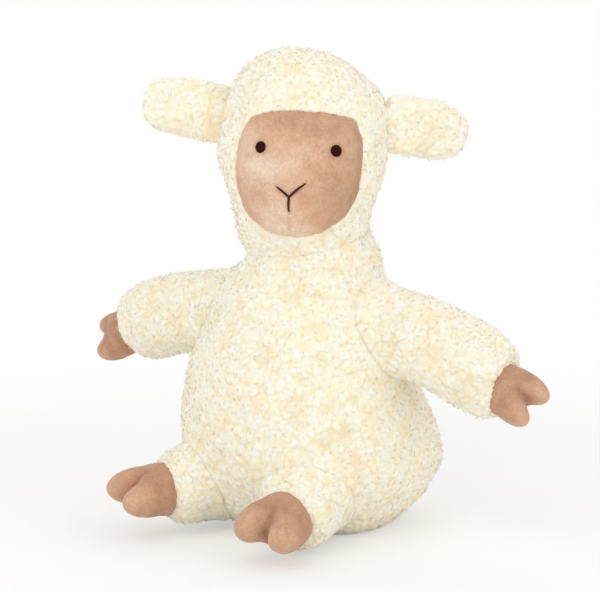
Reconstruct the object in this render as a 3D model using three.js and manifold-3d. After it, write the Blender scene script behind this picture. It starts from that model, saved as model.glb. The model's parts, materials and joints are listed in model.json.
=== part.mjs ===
// Plush sheep, sitting, with sewn-on head, ears, arms, legs and tail
// Millimetres, +Z up, the sheep faces -Y and its left side is +X
// The origin is the middle of the flat seat, on the ground
import * as THREE from 'three';
import { mergeVertices } from 'three/addons/utils/BufferGeometryUtils.js';
import Module from 'manifold-3d';

const wasm = await Module();
wasm.setup();

// Fabrics and fits
const fleece_thickness = 3.4;
const velour_thickness = 1.8;
const seam_gap = 0.35;
const seat_cut_depth = 0.5;
const cut_overrun = 20;
const merge_tolerance = 0.001;
const round_segments = 14;
const round_rings = 8;
const block_share = 4;

// Torso
const torso_half_width = 91;
const torso_half_depth = 88;
const torso_height = 178;
const torso_segments = 24;
const torso_rings = 12;
const seat_panel_radius = 46;
const pellet_bag_radius = 50;
const pellet_bag_height = 30;
const pellet_bag_neck_radius = 25;
// Each row: share of the half width and half depth, share of the torso's height, forward shift share
const torso_profile_shares = [
  [0.58, 0.0, -0.03],
  [0.71, 0.045, -0.03],
  [0.87, 0.14, -0.03],
  [1.01, 0.27, -0.03],
  [0.98, 0.42, 0.06],
  [0.92, 0.56, 0.14],
  [0.83, 0.7, 0.18],
  [0.73, 0.83, 0.14],
  [0.64, 0.93, 0.06],
  [0.55, 1.0, 0.035],
];
const torso_depth_shares = [1.0, 1.02, 1.04, 1.03, 1.0, 0.96, 0.92, 0.93, 0.99, 1.04];

// Neck, a ball of the torso inside the head
const neck_ball_radius = 42;
const neck_pivot_rise = 20;
const neck_pivot_height = torso_height + neck_pivot_rise;
const neck_pivot_forward = 13;
const neck_opening_radius = 27;
const neck_opening_angle_deg = 10;
const neck_ring_angles_deg = [-19, -4, 12, 28, 44, 60, 76];

// Head
const head_height = 143;
const head_base_drop = 7;
const head_base_height = neck_pivot_height - head_base_drop;
const head_half_width = 57;
const head_front_reach = 53;
const head_back_reach = 57;
const head_forward = 4;
const head_turn_deg = 30;
const head_tilt_deg = 2.5;
const head_segments = 28;
const head_crown_share = 0.9;
const head_rings = 14;
// Each row: shares of the head's height, of its half width, of its front reach and of its back reach
const head_profile_shares = [
  [0.0, 0.6, 0.6, 0.6],
  [0.06, 0.74, 0.78, 0.74],
  [0.15, 0.79, 0.9, 0.82],
  [0.27, 0.86, 0.98, 0.89],
  [0.4, 0.95, 1.0, 0.95],
  [0.52, 1.0, 0.99, 1.0],
  [0.65, 0.99, 0.95, 1.0],
  [0.77, 0.94, 0.87, 0.95],
  [0.87, 0.8, 0.75, 0.83],
  [0.95, 0.56, 0.54, 0.6],
  [0.993, 0.24, 0.24, 0.28],
];
const muzzle_reach = 11;
const muzzle_half_width = 34;
const muzzle_half_height = 30;
const muzzle_rise = 41;
const muzzle_height = head_base_height + muzzle_rise;

// Face, a velour panel let into the front of the fleece
const face_half_width = 45;
const face_chin_rise = 14;
const face_height = 88;
const face_chin_height = head_base_height + face_chin_rise;
// Each row: outward share of the half width, share of the height between chin and top
const face_outline_shares = [
  [0.0, 0.0],
  [0.42, 0.045],
  [0.76, 0.17],
  [0.95, 0.36],
  [1.0, 0.58],
  [0.97, 0.8],
  [0.82, 0.955],
  [0.42, 1.0],
];
const face_outline_steps = 36;
const face_wall_start = 6;
const face_wall_end = neck_pivot_forward + head_forward + head_front_reach + muzzle_reach + cut_overrun;

// Eyes, domes on a shank held by a washer behind the panel
const eye_radius = 4.4;
const eye_dome_height = 3.4;
const eye_side_share = 0.556;
const eye_height_share = 0.705;
const eye_shank_radius = 1.6;
const eye_shank_length = 11;
const eye_washer_radius = 7;
const eye_washer_thickness = 1.4;
const eye_washer_standoff = 1.9;

// Ears
const ear_length = 58;
const ear_half_height = 22;
const ear_half_thickness = 9;
const ear_pivot_side = 57;
const ear_pivot_rise = 93;
const ear_pivot_forward = 2;
const left_ear_rise = -5;
const right_ear_rise = 5;
const left_ear_sweep_deg = 20;
const right_ear_sweep_deg = 0;
const ear_fold_deg = [-25, 25];
const ear_height_shares = [1.02, 1.02, 0.98, 0.86, 0.66, 0.36];
const ear_thickness_shares = [1.0, 0.98, 0.92, 0.8, 0.62, 0.34];
const ear_station_shares = [0.2, 0.42, 0.64, 0.82, 0.94, 1.0];
const ear_segments = 14;

// Arms
const arm_root_radius = 26;
const arm_pivot_inset = 29;
const arm_pivot_forward = 7;
const arm_pivot_drop = 29;
const arm_reach = 97;
const left_arm_drop = 35;
const right_arm_drop = 27;
const arm_forward = 2;
const arm_mid_rise = 7;
const arm_swing_deg = [-15, 40];
const arm_half_height = 30;
const arm_half_depth = 28;
const arm_cuff_radius = 19;
const arm_swell_shares = [0.98, 1.0, 0.98, 0.9];
const arm_station_shares = [0.3, 0.55, 0.78, 0.93];

// Hands and feet, cloven hooves of velour
const hand_hoof_length = 30;
const hand_hoof_half_spread = 18;
const hand_hoof_half_thickness = 15;
const left_hand_roll_deg = 45;
const right_hand_roll_deg = 32;
const foot_hoof_length = 39;
const foot_hoof_half_spread = 24;
const foot_hoof_half_thickness = 15.5;
const foot_roll_deg = -10;
const hoof_heel_length_share = 0.66;
const hoof_lobe_length_share = 0.6;
const hoof_lobe_spread_share = 0.52;
const hoof_lobe_offset_share = 0.48;
const hoof_lobe_thickness_share = 0.86;
const hoof_lobe_splay_deg = 5;
// Each row: share of the heel's length, share of its half width
const hoof_heel_shares = [[0, 0.86], [0.2, 0.97], [0.5, 1.0], [0.75, 0.86], [0.9, 0.6], [1, 0.2]];
const hoof_cuff_length_share = 0.5;
const hoof_hollow_share = 0.62;
const hoof_hollow_length_share = 0.42;

// Legs
const leg_root_radius = 25;
const leg_pivot_side = 45;
const leg_pivot_inset = 24;
const leg_pivot_height = 31;
const leg_reach = 30;
const left_leg_drop = 3;
const right_leg_drop = -1;
const left_leg_splay_deg = 3;
const right_leg_splay_deg = 26;
const leg_mid_rise = 1;
const leg_lift_deg = [-15, 20];
const leg_half_height = 25.5;
const leg_half_width = 28;
const leg_cuff_radius = 21;
const leg_swell_shares = [1.0, 1.0, 0.99, 0.93];
const leg_station_shares = [0.3, 0.55, 0.78, 0.93];
const limb_segments = 14;
const limb_root_rings = 4;
const limb_cutter_segments = 16;
const limb_throat_share = 0.7;
const limb_middle_share = 0.5;
const limb_cutter_reach = 60;

// Tail
const tail_root_radius = 9;
const tail_length = 34;
const tail_half_width = 12;
const tail_half_thickness = 10;
const tail_pivot_standoff = 2;
const tail_pivot_height = 62;
const tail_droop_deg = 50;
const tail_swing_deg = [-10, 35];
const tail_swell_shares = [1.0, 1.05, 0.95, 0.6];
const tail_station_shares = [0.3, 0.6, 0.85, 1.0];
const tail_segments = 12;

// Colours
const fleece_colour = 0xf6efdc;
const velour_colour = 0xd6a98b;
const stuffing_colour = 0xfafafa;
const pellet_bag_colour = 0xd9d4c8;
const eye_colour = 0x3a2015;
const washer_colour = 0xe9e9e4;

const x_axis = new THREE.Vector3(1, 0, 0);
const y_axis = new THREE.Vector3(0, 1, 0);
const z_axis = new THREE.Vector3(0, 0, 1);

const finish = (color, roughness) => new THREE.MeshStandardMaterial({ color, roughness, metalness: 0 });
const fleece = () => finish(fleece_colour, 0.95);
const velour = () => finish(velour_colour, 0.85);
const stuffing = () => finish(stuffing_colour, 1);
const pellet_cloth = () => finish(pellet_bag_colour, 0.9);
const eye_plastic = () => finish(eye_colour, 0.12);
const washer_plastic = () => finish(washer_colour, 0.5);

const radians = THREE.MathUtils.degToRad;
const sphere = (radius, across, down) => new THREE.SphereGeometry(radius, across, down);

// A faceted ball that holds a round one of the radius inside its facets
function roomyBall(radius, segments) {
  const outside = radius / (Math.cos(Math.PI / segments) * Math.cos(Math.PI / (2 * segments)));
  return sphere(outside, segments, segments).rotateX(Math.PI / 2);
}

// Solids are joined and cut as closed meshes with shared corners
function toSolid(geometry) {
  const bare = geometry.clone();
  bare.deleteAttribute('normal');
  bare.deleteAttribute('uv');
  const merged = mergeVertices(bare, merge_tolerance);
  const vertProperties = new Float32Array(merged.attributes.position.array);
  const triVerts = new Uint32Array(merged.index.array);
  return new wasm.Manifold(new wasm.Mesh({ numProp: 3, vertProperties, triVerts }));
}

function toGeometry(solid) {
  const { vertProperties, triVerts } = solid.getMesh();
  const geometry = new THREE.BufferGeometry();
  geometry.setAttribute('position', new THREE.BufferAttribute(new Float32Array(vertProperties), 3));
  geometry.setIndex(new THREE.BufferAttribute(new Uint32Array(triVerts), 1));
  geometry.computeVertexNormals();
  return geometry;
}

function namedMesh(name, geometry, material) {
  const mesh = new THREE.Mesh(geometry, material);
  mesh.name = name;
  return mesh;
}

const solidMesh = (name, solid, material) => namedMesh(name, toGeometry(solid), material);

// What the sheep's two sides have of their own
const sides = [
  {
    name: 'left', side: 1, ear_rise: left_ear_rise, ear_sweep_deg: left_ear_sweep_deg,
    arm_drop: left_arm_drop, hand_roll_deg: left_hand_roll_deg,
    leg_drop: left_leg_drop, leg_splay_deg: left_leg_splay_deg,
  },
  {
    name: 'right', side: -1, ear_rise: right_ear_rise, ear_sweep_deg: right_ear_sweep_deg,
    arm_drop: right_arm_drop, hand_roll_deg: right_hand_roll_deg,
    leg_drop: right_leg_drop, leg_splay_deg: right_leg_splay_deg,
  },
];

// A point of an oval ring about a centre, turning from `side` towards `up`
function ovalPoint(centre, side, up, half_side, half_up, angle) {
  return centre.clone()
    .addScaledVector(side, half_side * Math.cos(angle))
    .addScaledVector(up, half_up * Math.sin(angle));
}

function ovalRing(centre, side, up, half_side, half_up, segments) {
  const ring = [];
  for (let i = 0; i < segments; i += 1) {
    ring.push(ovalPoint(centre, side, up, half_side, half_up, (2 * Math.PI * i) / segments));
  }
  return ring;
}

const middleOf = (ring) => ring
  .reduce((sum, point) => sum.add(point), new THREE.Vector3())
  .divideScalar(ring.length);

// Skins a row of rings, each turning right-handed about the way the row runs, and closes both ends
function closedLoft(rings) {
  const segments = rings[0].length;
  const points = [...rings.flat(), middleOf(rings[0]), middleOf(rings[rings.length - 1])];
  const first_middle = points.length - 2;
  const last_middle = points.length - 1;
  const last_ring = (rings.length - 1) * segments;
  const index = [];
  for (let i = 0; i < segments; i += 1) {
    const next = (i + 1) % segments;
    index.push(first_middle, next, i);
    index.push(last_middle, last_ring + i, last_ring + next);
    for (let ring = 0; ring < last_ring; ring += segments) {
      index.push(ring + i, ring + next, ring + segments + i);
      index.push(ring + next, ring + segments + next, ring + segments + i);
    }
  }
  const geometry = new THREE.BufferGeometry();
  geometry.setAttribute('position', new THREE.BufferAttribute(new Float32Array(points.length * 3), 3));
  points.forEach((point, i) => geometry.attributes.position.setXYZ(i, point.x, point.y, point.z));
  geometry.setIndex(index);
  geometry.computeVertexNormals();
  return geometry;
}

// A smooth curve through rows of shares, read at evenly spaced steps
function smoothRows(rows, steps) {
  const columns = rows[0].length;
  const smooth = [];
  for (let i = 0; i <= steps; i += 1) {
    const place = (i / steps) * (rows.length - 1);
    const row = Math.min(Math.floor(place), rows.length - 2);
    const part = place - row;
    const values = [];
    for (let column = 0; column < columns; column += 1) {
      const before = rows[Math.max(row - 1, 0)][column];
      const from = rows[row][column];
      const to = rows[row + 1][column];
      const after = rows[Math.min(row + 2, rows.length - 1)][column];
      values.push(THREE.MathUtils.lerp(
        from + part * (1 - part) * (1 - part) * (to - before) / 2,
        to - part * part * (1 - part) * (after - from) / 2,
        part * part * (3 - 2 * part),
      ));
    }
    smooth.push(values);
  }
  return smooth;
}

// Parts of the torso
const neck_pivot = new THREE.Vector3(0, -neck_pivot_forward, neck_pivot_height);

function torsoRings(inset, neck_radius, segments) {
  const rows = torso_profile_shares.map((row, i) => [...row, torso_depth_shares[i]]);
  const rings = smoothRows(rows, torso_rings).map(([out, height, shift, depth]) => {
    const centre = new THREE.Vector3(
      0,
      -shift * torso_half_depth,
      height * torso_height - seat_cut_depth + (height === 0 ? inset + seat_cut_depth : 0),
    );
    return ovalRing(
      centre, x_axis, y_axis,
      out * torso_half_width - inset, out * depth * torso_half_depth - inset, segments,
    );
  });
  if (neck_radius) {
    const depth = neck_ball_radius * Math.sin(radians(neck_opening_angle_deg));
    const low = neck_pivot.clone().addScaledVector(z_axis, -depth);
    const high = neck_pivot.clone().addScaledVector(z_axis, neck_ball_radius + cut_overrun);
    rings.push(ovalRing(low, x_axis, y_axis, neck_radius, neck_radius, segments));
    rings.push(ovalRing(high, x_axis, y_axis, neck_radius, neck_radius, segments));
    return rings;
  }
  neck_ring_angles_deg.forEach((angle_deg) => {
    const angle = radians(angle_deg);
    const centre = neck_pivot.clone().addScaledVector(z_axis, neck_ball_radius * Math.sin(angle));
    const radius = neck_ball_radius * Math.cos(angle);
    rings.push(ovalRing(centre, x_axis, y_axis, radius, radius, segments));
  });
  return rings;
}

const ground = () => {
  const wide = block_share * torso_half_width;
  return toSolid(new THREE.BoxGeometry(wide, wide, torso_height).translate(0, 0, -torso_height / 2));
};

const upright = (radius, bottom, top) => {
  const drum = new THREE.CylinderGeometry(radius, radius, top - bottom, torso_segments);
  return toSolid(drum.rotateX(Math.PI / 2).translate(0, 0, (bottom + top) / 2));
};

function pelletBagForm(grow) {
  const form = sphere(1, round_segments, round_rings).rotateX(Math.PI / 2);
  form.scale(pellet_bag_radius + grow, pellet_bag_radius + grow, pellet_bag_height / 2 + grow);
  form.translate(0, 0, fleece_thickness + 2 * seam_gap + pellet_bag_height / 2);
  return toSolid(form);
}

function buildTorso(sockets) {
  const outer = toSolid(closedLoft(torsoRings(0, 0, torso_segments))).subtract(ground());
  const hollow = toSolid(closedLoft(torsoRings(fleece_thickness, neck_opening_radius, torso_segments / 2)));
  const filling = toSolid(closedLoft(
    torsoRings(fleece_thickness + seam_gap, neck_opening_radius - seam_gap, torso_segments / 2),
  ));
  let cover = outer.subtract(hollow)
    .subtract(upright(seat_panel_radius + seam_gap, -cut_overrun, fleece_thickness + cut_overrun));
  let stuffed = filling.intersect(outer)
    .subtract(pelletBagForm(seam_gap))
    .subtract(upright(pellet_bag_neck_radius, -cut_overrun, fleece_thickness + pellet_bag_height / 2));
  sockets.forEach((socket) => {
    cover = cover.subtract(socket);
    stuffed = stuffed.subtract(socket);
  });
  return [
    solidMesh('torso_cover', cover, fleece()),
    solidMesh('torso_stuffing', stuffed, stuffing()),
    solidMesh('seat_panel', upright(seat_panel_radius, 0, fleece_thickness), fleece()),
    solidMesh('pellet_bag', pelletBagForm(0), pellet_cloth()),
  ];
}

// Parts of the head, in its own frame, which turns about the neck
function headRings(inset, segments) {
  return smoothRows(head_profile_shares, head_rings).map(([height, width, front, back]) => {
    const ring = [];
    const level = head_base_height + height * head_height;
    const crown_inset = height > head_crown_share ? inset : 0;
    for (let i = 0; i < segments; i += 1) {
      const angle = (2 * Math.PI * i) / segments;
      const x = (width * head_half_width - inset) * Math.cos(angle);
      const reach = Math.sin(angle) < 0 ? front * head_front_reach : back * head_back_reach;
      const off_muzzle = (x / muzzle_half_width) ** 2 + ((level - muzzle_height) / muzzle_half_height) ** 2;
      const bump = Math.sin(angle) < 0 ? muzzle_reach * Math.exp(-off_muzzle) : 0;
      const y = (reach - inset + bump) * Math.sin(angle) - neck_pivot_forward - head_forward;
      ring.push(new THREE.Vector3(x, y, level - crown_inset));
    }
    return ring;
  });
}

const headSolid = (inset, segments) => toSolid(closedLoft(headRings(inset, segments)));

const neckBall = () => toSolid(roomyBall(neck_ball_radius + seam_gap, torso_segments)
  .translate(neck_pivot.x, neck_pivot.y, neck_pivot.z));

// The column that cuts the face panel out of the front of the head
function faceColumn(grow) {
  const right = face_outline_shares.map(([out, up]) => new THREE.Vector3(
    out * face_half_width, 0, face_chin_height + up * face_height,
  ));
  const left = right.slice(1).reverse().map((point) => new THREE.Vector3(-point.x, 0, point.z));
  const outline = new THREE.CatmullRomCurve3([...right, ...left], true);
  const middle = new THREE.Vector3(0, 0, face_chin_height + face_height / 2);
  const rim = outline.getPoints(face_outline_steps).slice(0, -1);
  const ringAt = (y) => rim.map((point) => {
    const away = point.clone().sub(middle);
    return away.setLength(away.length() + grow).add(middle).setY(y);
  });
  return toSolid(closedLoft([ringAt(-face_wall_start), ringAt(-face_wall_end)]));
}

function buildEye(name, side, face) {
  const spot = new THREE.Vector3(
    side * eye_side_share * face_half_width,
    -face_wall_end,
    face_chin_height + eye_height_share * face_height,
  );
  const hit = new THREE.Raycaster(spot, y_axis).intersectObject(face)[0];
  const turned = new THREE.Quaternion().setFromUnitVectors(y_axis, hit.face.normal);
  const placed = (geometry) => toSolid(geometry.applyQuaternion(turned)
    .translate(hit.point.x, hit.point.y, hit.point.z));
  const drum = (radius, bottom, top) => placed(
    new THREE.CylinderGeometry(radius, radius, top - bottom, round_segments)
      .translate(0, (top + bottom) / 2, 0),
  );
  const dome = sphere(eye_radius, round_segments, round_rings).scale(1, eye_dome_height / eye_radius, 1);
  const washer_front = -velour_thickness - eye_washer_standoff;
  const washer_back = washer_front - eye_washer_thickness;
  const bore = drum(eye_shank_radius + seam_gap, -eye_shank_length - seam_gap, eye_dome_height);
  const pocket = drum(eye_washer_radius + seam_gap, washer_back - seam_gap, eye_dome_height);
  const eye = placed(dome.translate(0, seam_gap, 0))
    .subtract(drum(eye_radius + cut_overrun, -cut_overrun, seam_gap))
    .add(drum(eye_shank_radius, -eye_shank_length, seam_gap + eye_dome_height / 2));
  const washer = drum(eye_washer_radius, washer_back, washer_front).subtract(bore);
  return {
    eye: solidMesh(`${name}_eye`, eye, eye_plastic()),
    washer: solidMesh(`${name}_eye_washer`, washer, washer_plastic()),
    bore,
    pocket: pocket.add(bore),
  };
}

// Limbs swell and taper along a spine, and their roots are balls about the joint
const limbFrame = (limb, share) => {
  const along = limb.spine.getTangentAt(share).normalize();
  const side = limb.side.clone().addScaledVector(along, -limb.side.dot(along)).normalize();
  return { centre: limb.spine.getPointAt(share), along, side, up: along.clone().cross(side) };
};

function limbRings(limb, segments) {
  const rings = [];
  const root = limbFrame(limb, 0);
  for (let i = 0; i < limb_root_rings; i += 1) {
    const angle = (Math.PI / 2) * ((i + 0.5) / limb_root_rings);
    const centre = root.centre.clone()
      .addScaledVector(root.along, -limb.root_reach * Math.cos(angle));
    rings.push(ovalRing(
      centre, root.side, root.up,
      limb.root_side * Math.sin(angle), limb.root_up * Math.sin(angle), segments,
    ));
  }
  const stations = [[0, limb.root_side, limb.root_up], ...limb.stations];
  stations.forEach(([share, half_side, half_up]) => {
    const frame = limbFrame(limb, share);
    rings.push(ovalRing(frame.centre, frame.side, frame.up, half_side, half_up, segments));
  });
  return rings;
}

// One ring of a limb with room round it, its raised half turned to the top of the swing, the rest down
function sweptRing(limb, [share, half_side, half_up], axis, swing, [low, high]) {
  const frame = limbFrame(limb, share);
  const round_up = 1 / Math.cos(Math.PI / limb_cutter_segments);
  const ring = [];
  for (let i = 0; i < limb_cutter_segments; i += 1) {
    const angle = (2 * Math.PI * (i + 0.5)) / limb_cutter_segments;
    const point = ovalPoint(
      frame.centre, frame.side, frame.up,
      (half_side + seam_gap) * round_up, (half_up + seam_gap) * round_up, angle,
    );
    const raised = point.clone().sub(frame.centre).dot(swing) > 0;
    ring.push(point.applyAxisAngle(axis, raised ? high : low));
  }
  return ring;
}

// The room that a limb takes out of the piece that carries it, over its whole swing
function limbSocket(limb, pivot, axis, swing_deg) {
  const root = limbFrame(limb, 0);
  const swing = axis.clone().cross(root.along).normalize();
  const limits = swing_deg.map((angle_deg) => radians(angle_deg));
  const rings = [[0, limb.root_side, limb.root_up], ...limb.stations]
    .filter(([share]) => limbFrame(limb, share).centre.length() <= limb_cutter_reach)
    .map((station) => sweptRing(limb, station, axis, swing, limits));
  const ball = roomyBall(1, limb_segments);
  ball.applyMatrix4(new THREE.Matrix4().makeBasis(
    root.side.clone().multiplyScalar(limb.root_side + seam_gap),
    root.up.clone().multiplyScalar(limb.root_up + seam_gap),
    root.along.clone().multiplyScalar(limb.root_reach + seam_gap),
  ));
  const fan = toSolid(closedLoft(rings).translate(pivot.x, pivot.y, pivot.z));
  return fan.add(toSolid(ball.translate(pivot.x, pivot.y, pivot.z)));
}

// The hollow of a sleeve and its hoof, which the stuffing fills
function limbHollow(limb, inset, root_reach) {
  const rings = [];
  const root = limbFrame(limb, 0);
  const throat = limb.root_side * limb_throat_share - inset;
  rings.push(ovalRing(
    root.centre.clone().addScaledVector(root.along, -root_reach), root.side, root.up,
    throat, throat, limb_segments,
  ));
  limb.stations.slice(0, -1).forEach(([share, half_side, half_up]) => {
    const frame = limbFrame(limb, share);
    rings.push(ovalRing(
      frame.centre, frame.side, frame.up,
      half_side - fleece_thickness - inset, half_up - fleece_thickness - inset, limb_segments,
    ));
  });
  const cuff = limbFrame(limb, 1);
  const narrow = limb.cuff_radius * hoof_hollow_share - inset;
  [0, hoof_hollow_length_share * limb.hoof_length - inset].forEach((reach) => {
    const centre = cuff.centre.clone().addScaledVector(cuff.along, reach);
    rings.push(ovalRing(centre, cuff.side, cuff.up, narrow, narrow, limb_segments));
  });
  return toSolid(closedLoft(rings));
}

// A hoof is a heel with two rounded toes that part at a cleft, cut flush where it meets the sleeve
function hoofSolid(limb) {
  const cuff = limbFrame(limb, 1);
  const basis = new THREE.Matrix4().makeBasis(cuff.side, cuff.up, cuff.along);
  const place = (geometry) => toSolid(geometry.rotateZ(limb.hoof_roll).applyMatrix4(basis)
    .translate(cuff.centre.x, cuff.centre.y, cuff.centre.z));
  const { hoof_length, hoof_spread, hoof_thickness, cuff_radius } = limb;
  const heel_length = hoof_length * hoof_heel_length_share;
  const heel = closedLoft(hoof_heel_shares.map(([along, width]) => {
    const grown = Math.min(1, along / hoof_cuff_length_share);
    return ovalRing(
      new THREE.Vector3(0, 0, seam_gap + along * heel_length), x_axis, y_axis,
      THREE.MathUtils.lerp(cuff_radius, hoof_spread, grown) * width,
      THREE.MathUtils.lerp(cuff_radius, hoof_thickness, grown) * width, limb_segments,
    );
  }));
  let hoof = place(heel);
  const toe_reach = hoof_length * hoof_lobe_length_share;
  [-1, 1].forEach((toe_side) => {
    const toe = sphere(1, round_segments, round_rings).rotateX(Math.PI / 2);
    toe.scale(hoof_spread * hoof_lobe_spread_share, hoof_thickness * hoof_lobe_thickness_share, toe_reach);
    toe.rotateY(toe_side * radians(hoof_lobe_splay_deg));
    toe.translate(toe_side * hoof_spread * hoof_lobe_offset_share, 0, hoof_length - toe_reach);
    hoof = hoof.add(place(toe));
  });
  const behind = new THREE.BoxGeometry(1, 1, 1)
    .scale(block_share * cuff_radius, block_share * cuff_radius, hoof_length)
    .translate(0, 0, seam_gap - hoof_length / 2);
  return hoof.subtract(place(behind));
}

// Builds one limb about its own joint and returns its meshes and the sockets it needs
function buildLimb(name, hoof_name, limb, pivot, axis, swing_deg) {
  const group = new THREE.Group();
  group.position.copy(pivot);
  const outer = toSolid(closedLoft(limbRings(limb, limb_segments)));
  const root_ball = toSolid(sphere(limb.root_side, limb_segments, limb_segments));
  const hollow = limbHollow(limb, 0, limb.root_side + cut_overrun);
  const filling = limbHollow(limb, seam_gap, limb.root_side + cut_overrun);
  const hoof = hoofSolid(limb);
  const middle = limbFrame(limb, limb_middle_share);
  const reach = limb.length + limb.hoof_length;
  const far_part = toSolid(new THREE.BoxGeometry(1, 1, 1)
    .scale(block_share * limb.root_side, block_share * limb.root_side, reach)
    .translate(0, 0, reach / 2)
    .applyMatrix4(new THREE.Matrix4().makeBasis(middle.side, middle.up, middle.along)));
  const stuffed = filling.intersect(root_ball.add(far_part));
  group.add(solidMesh(`${name}_sleeve`, outer.subtract(hollow), fleece()));
  group.add(solidMesh(hoof_name, hoof.subtract(hollow), velour()));
  group.add(solidMesh(`${name}_stuffing`, stuffed, stuffing()));
  return { group, socket: limbSocket(limb, pivot, axis, swing_deg) };
}

function armShape(side, arm_drop, roll_deg) {
  const spine = new THREE.QuadraticBezierCurve3(
    new THREE.Vector3(0, 0, 0),
    new THREE.Vector3(side * arm_reach / 2, -arm_forward / 2, arm_mid_rise - arm_drop / 2),
    new THREE.Vector3(side * arm_reach, -arm_forward, -arm_drop),
  );
  return {
    spine,
    side: z_axis.clone(),
    root_side: arm_root_radius,
    root_up: arm_root_radius,
    root_reach: arm_root_radius,
    stations: [
      ...arm_station_shares.map((share, i) => [
        share, arm_half_height * arm_swell_shares[i], arm_half_depth * arm_swell_shares[i],
      ]),
      [1, arm_cuff_radius, arm_cuff_radius],
    ],
    cuff_radius: arm_cuff_radius,
    length: spine.getLength(),
    hoof_length: hand_hoof_length,
    hoof_spread: hand_hoof_half_spread,
    hoof_thickness: hand_hoof_half_thickness,
    hoof_roll: radians(-side * roll_deg),
  };
}

function legShape(side, leg_drop, splay_deg) {
  const splay = radians(splay_deg);
  const out = new THREE.Vector3(side * Math.sin(splay), -Math.cos(splay), 0);
  const spine = new THREE.QuadraticBezierCurve3(
    new THREE.Vector3(0, 0, 0),
    out.clone().multiplyScalar(leg_reach / 2).setZ(leg_mid_rise - leg_drop / 2),
    out.clone().multiplyScalar(leg_reach).setZ(-leg_drop),
  );
  return {
    spine,
    side: out.clone().cross(z_axis).multiplyScalar(-1),
    root_side: leg_root_radius,
    root_up: leg_root_radius,
    root_reach: leg_root_radius,
    stations: [
      ...leg_station_shares.map((share, i) => [
        share, leg_half_width * leg_swell_shares[i], leg_half_height * leg_swell_shares[i],
      ]),
      [1, leg_cuff_radius, leg_cuff_radius],
    ],
    cuff_radius: leg_cuff_radius,
    length: spine.getLength(),
    hoof_length: foot_hoof_length,
    hoof_spread: foot_hoof_half_spread,
    hoof_thickness: foot_hoof_half_thickness,
    hoof_roll: radians(foot_roll_deg),
  };
}

function earShape(side, ear_rise, sweep_deg) {
  const sweep = radians(sweep_deg);
  const spine = new THREE.LineCurve3(
    new THREE.Vector3(0, 0, 0),
    new THREE.Vector3(side * ear_length * Math.cos(sweep), ear_length * Math.sin(sweep), ear_rise),
  );
  return {
    spine,
    side: z_axis.clone(),
    root_side: ear_half_height,
    root_up: ear_half_thickness,
    root_reach: ear_half_thickness,
    stations: ear_station_shares.map((share, i) => [
      share, ear_half_height * ear_height_shares[i], ear_half_thickness * ear_thickness_shares[i],
    ]),
  };
}

function tailShape() {
  const droop = radians(tail_droop_deg);
  const spine = new THREE.LineCurve3(
    new THREE.Vector3(0, 0, 0),
    new THREE.Vector3(0, tail_length * Math.cos(droop), -tail_length * Math.sin(droop)),
  );
  return {
    spine,
    side: x_axis.clone(),
    root_side: tail_root_radius,
    root_up: tail_root_radius,
    root_reach: tail_root_radius,
    stations: tail_station_shares.map((share, i) => [
      share, tail_half_width * tail_swell_shares[i], tail_half_thickness * tail_swell_shares[i],
    ]),
  };
}

function buildEar(name, side, ear_rise, sweep_deg) {
  const pivot = new THREE.Vector3(
    side * ear_pivot_side, -neck_pivot_forward - ear_pivot_forward, head_base_height + ear_pivot_rise,
  );
  const ear = earShape(side, ear_rise, sweep_deg);
  const axis = z_axis.clone().multiplyScalar(-side);
  const whole = toSolid(closedLoft(limbRings(ear, ear_segments)));
  const half = (face) => toSolid(new THREE.BoxGeometry(1, 1, 1)
    .scale(block_share * ear_length, ear_length, block_share * ear_length)
    .translate(0, face * (ear_length + seam_gap) / 2, 0)
    .rotateZ(side * radians(sweep_deg)));
  const group = new THREE.Group();
  group.position.copy(pivot);
  group.add(solidMesh(`${name}_ear_front`, whole.intersect(half(-1)), fleece()));
  group.add(solidMesh(`${name}_ear_back`, whole.intersect(half(1)), fleece()));
  return { group, socket: limbSocket(ear, pivot, axis, ear_fold_deg) };
}

function buildHead() {
  const group = new THREE.Group();
  const outer = headSolid(0, head_segments);
  const hollow = headSolid(fleece_thickness, head_segments / 2);
  const filling = headSolid(fleece_thickness + seam_gap, head_segments / 2);
  const panel_back = headSolid(velour_thickness, head_segments);
  let cover = outer.subtract(hollow).subtract(neckBall()).subtract(faceColumn(seam_gap));
  let panel = outer.subtract(panel_back).intersect(faceColumn(0)).subtract(neckBall());
  let stuffed = filling.subtract(neckBall());
  sides.forEach(({ name, side, ear_rise, ear_sweep_deg }) => {
    const ear = buildEar(name, side, ear_rise, ear_sweep_deg);
    group.add(ear.group);
    cover = cover.subtract(ear.socket);
    stuffed = stuffed.subtract(ear.socket);
  });
  const face = solidMesh('face_panel', panel, velour());
  sides.forEach(({ name, side }) => {
    const set = buildEye(name, side, face);
    group.add(set.eye);
    group.add(set.washer);
    panel = panel.subtract(set.bore);
    stuffed = stuffed.subtract(set.pocket);
  });
  group.add(solidMesh('head_cover', cover, fleece()));
  group.add(solidMesh('face_panel', panel, velour()));
  group.add(solidMesh('head_stuffing', stuffed, stuffing()));
  const turned = new THREE.Group();
  turned.rotation.set(0, radians(head_tilt_deg), radians(head_turn_deg), 'ZYX');
  turned.position.copy(neck_pivot);
  group.position.copy(neck_pivot).negate();
  return turned.add(group);
}

function buildTail() {
  const pivot = new THREE.Vector3(0, torso_half_depth + tail_pivot_standoff, tail_pivot_height);
  const tail = tailShape();
  const group = new THREE.Group();
  group.position.copy(pivot);
  group.add(namedMesh('tail', closedLoft(limbRings(tail, tail_segments)), fleece()));
  return { group, socket: limbSocket(tail, pivot, x_axis, tail_swing_deg) };
}

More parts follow.
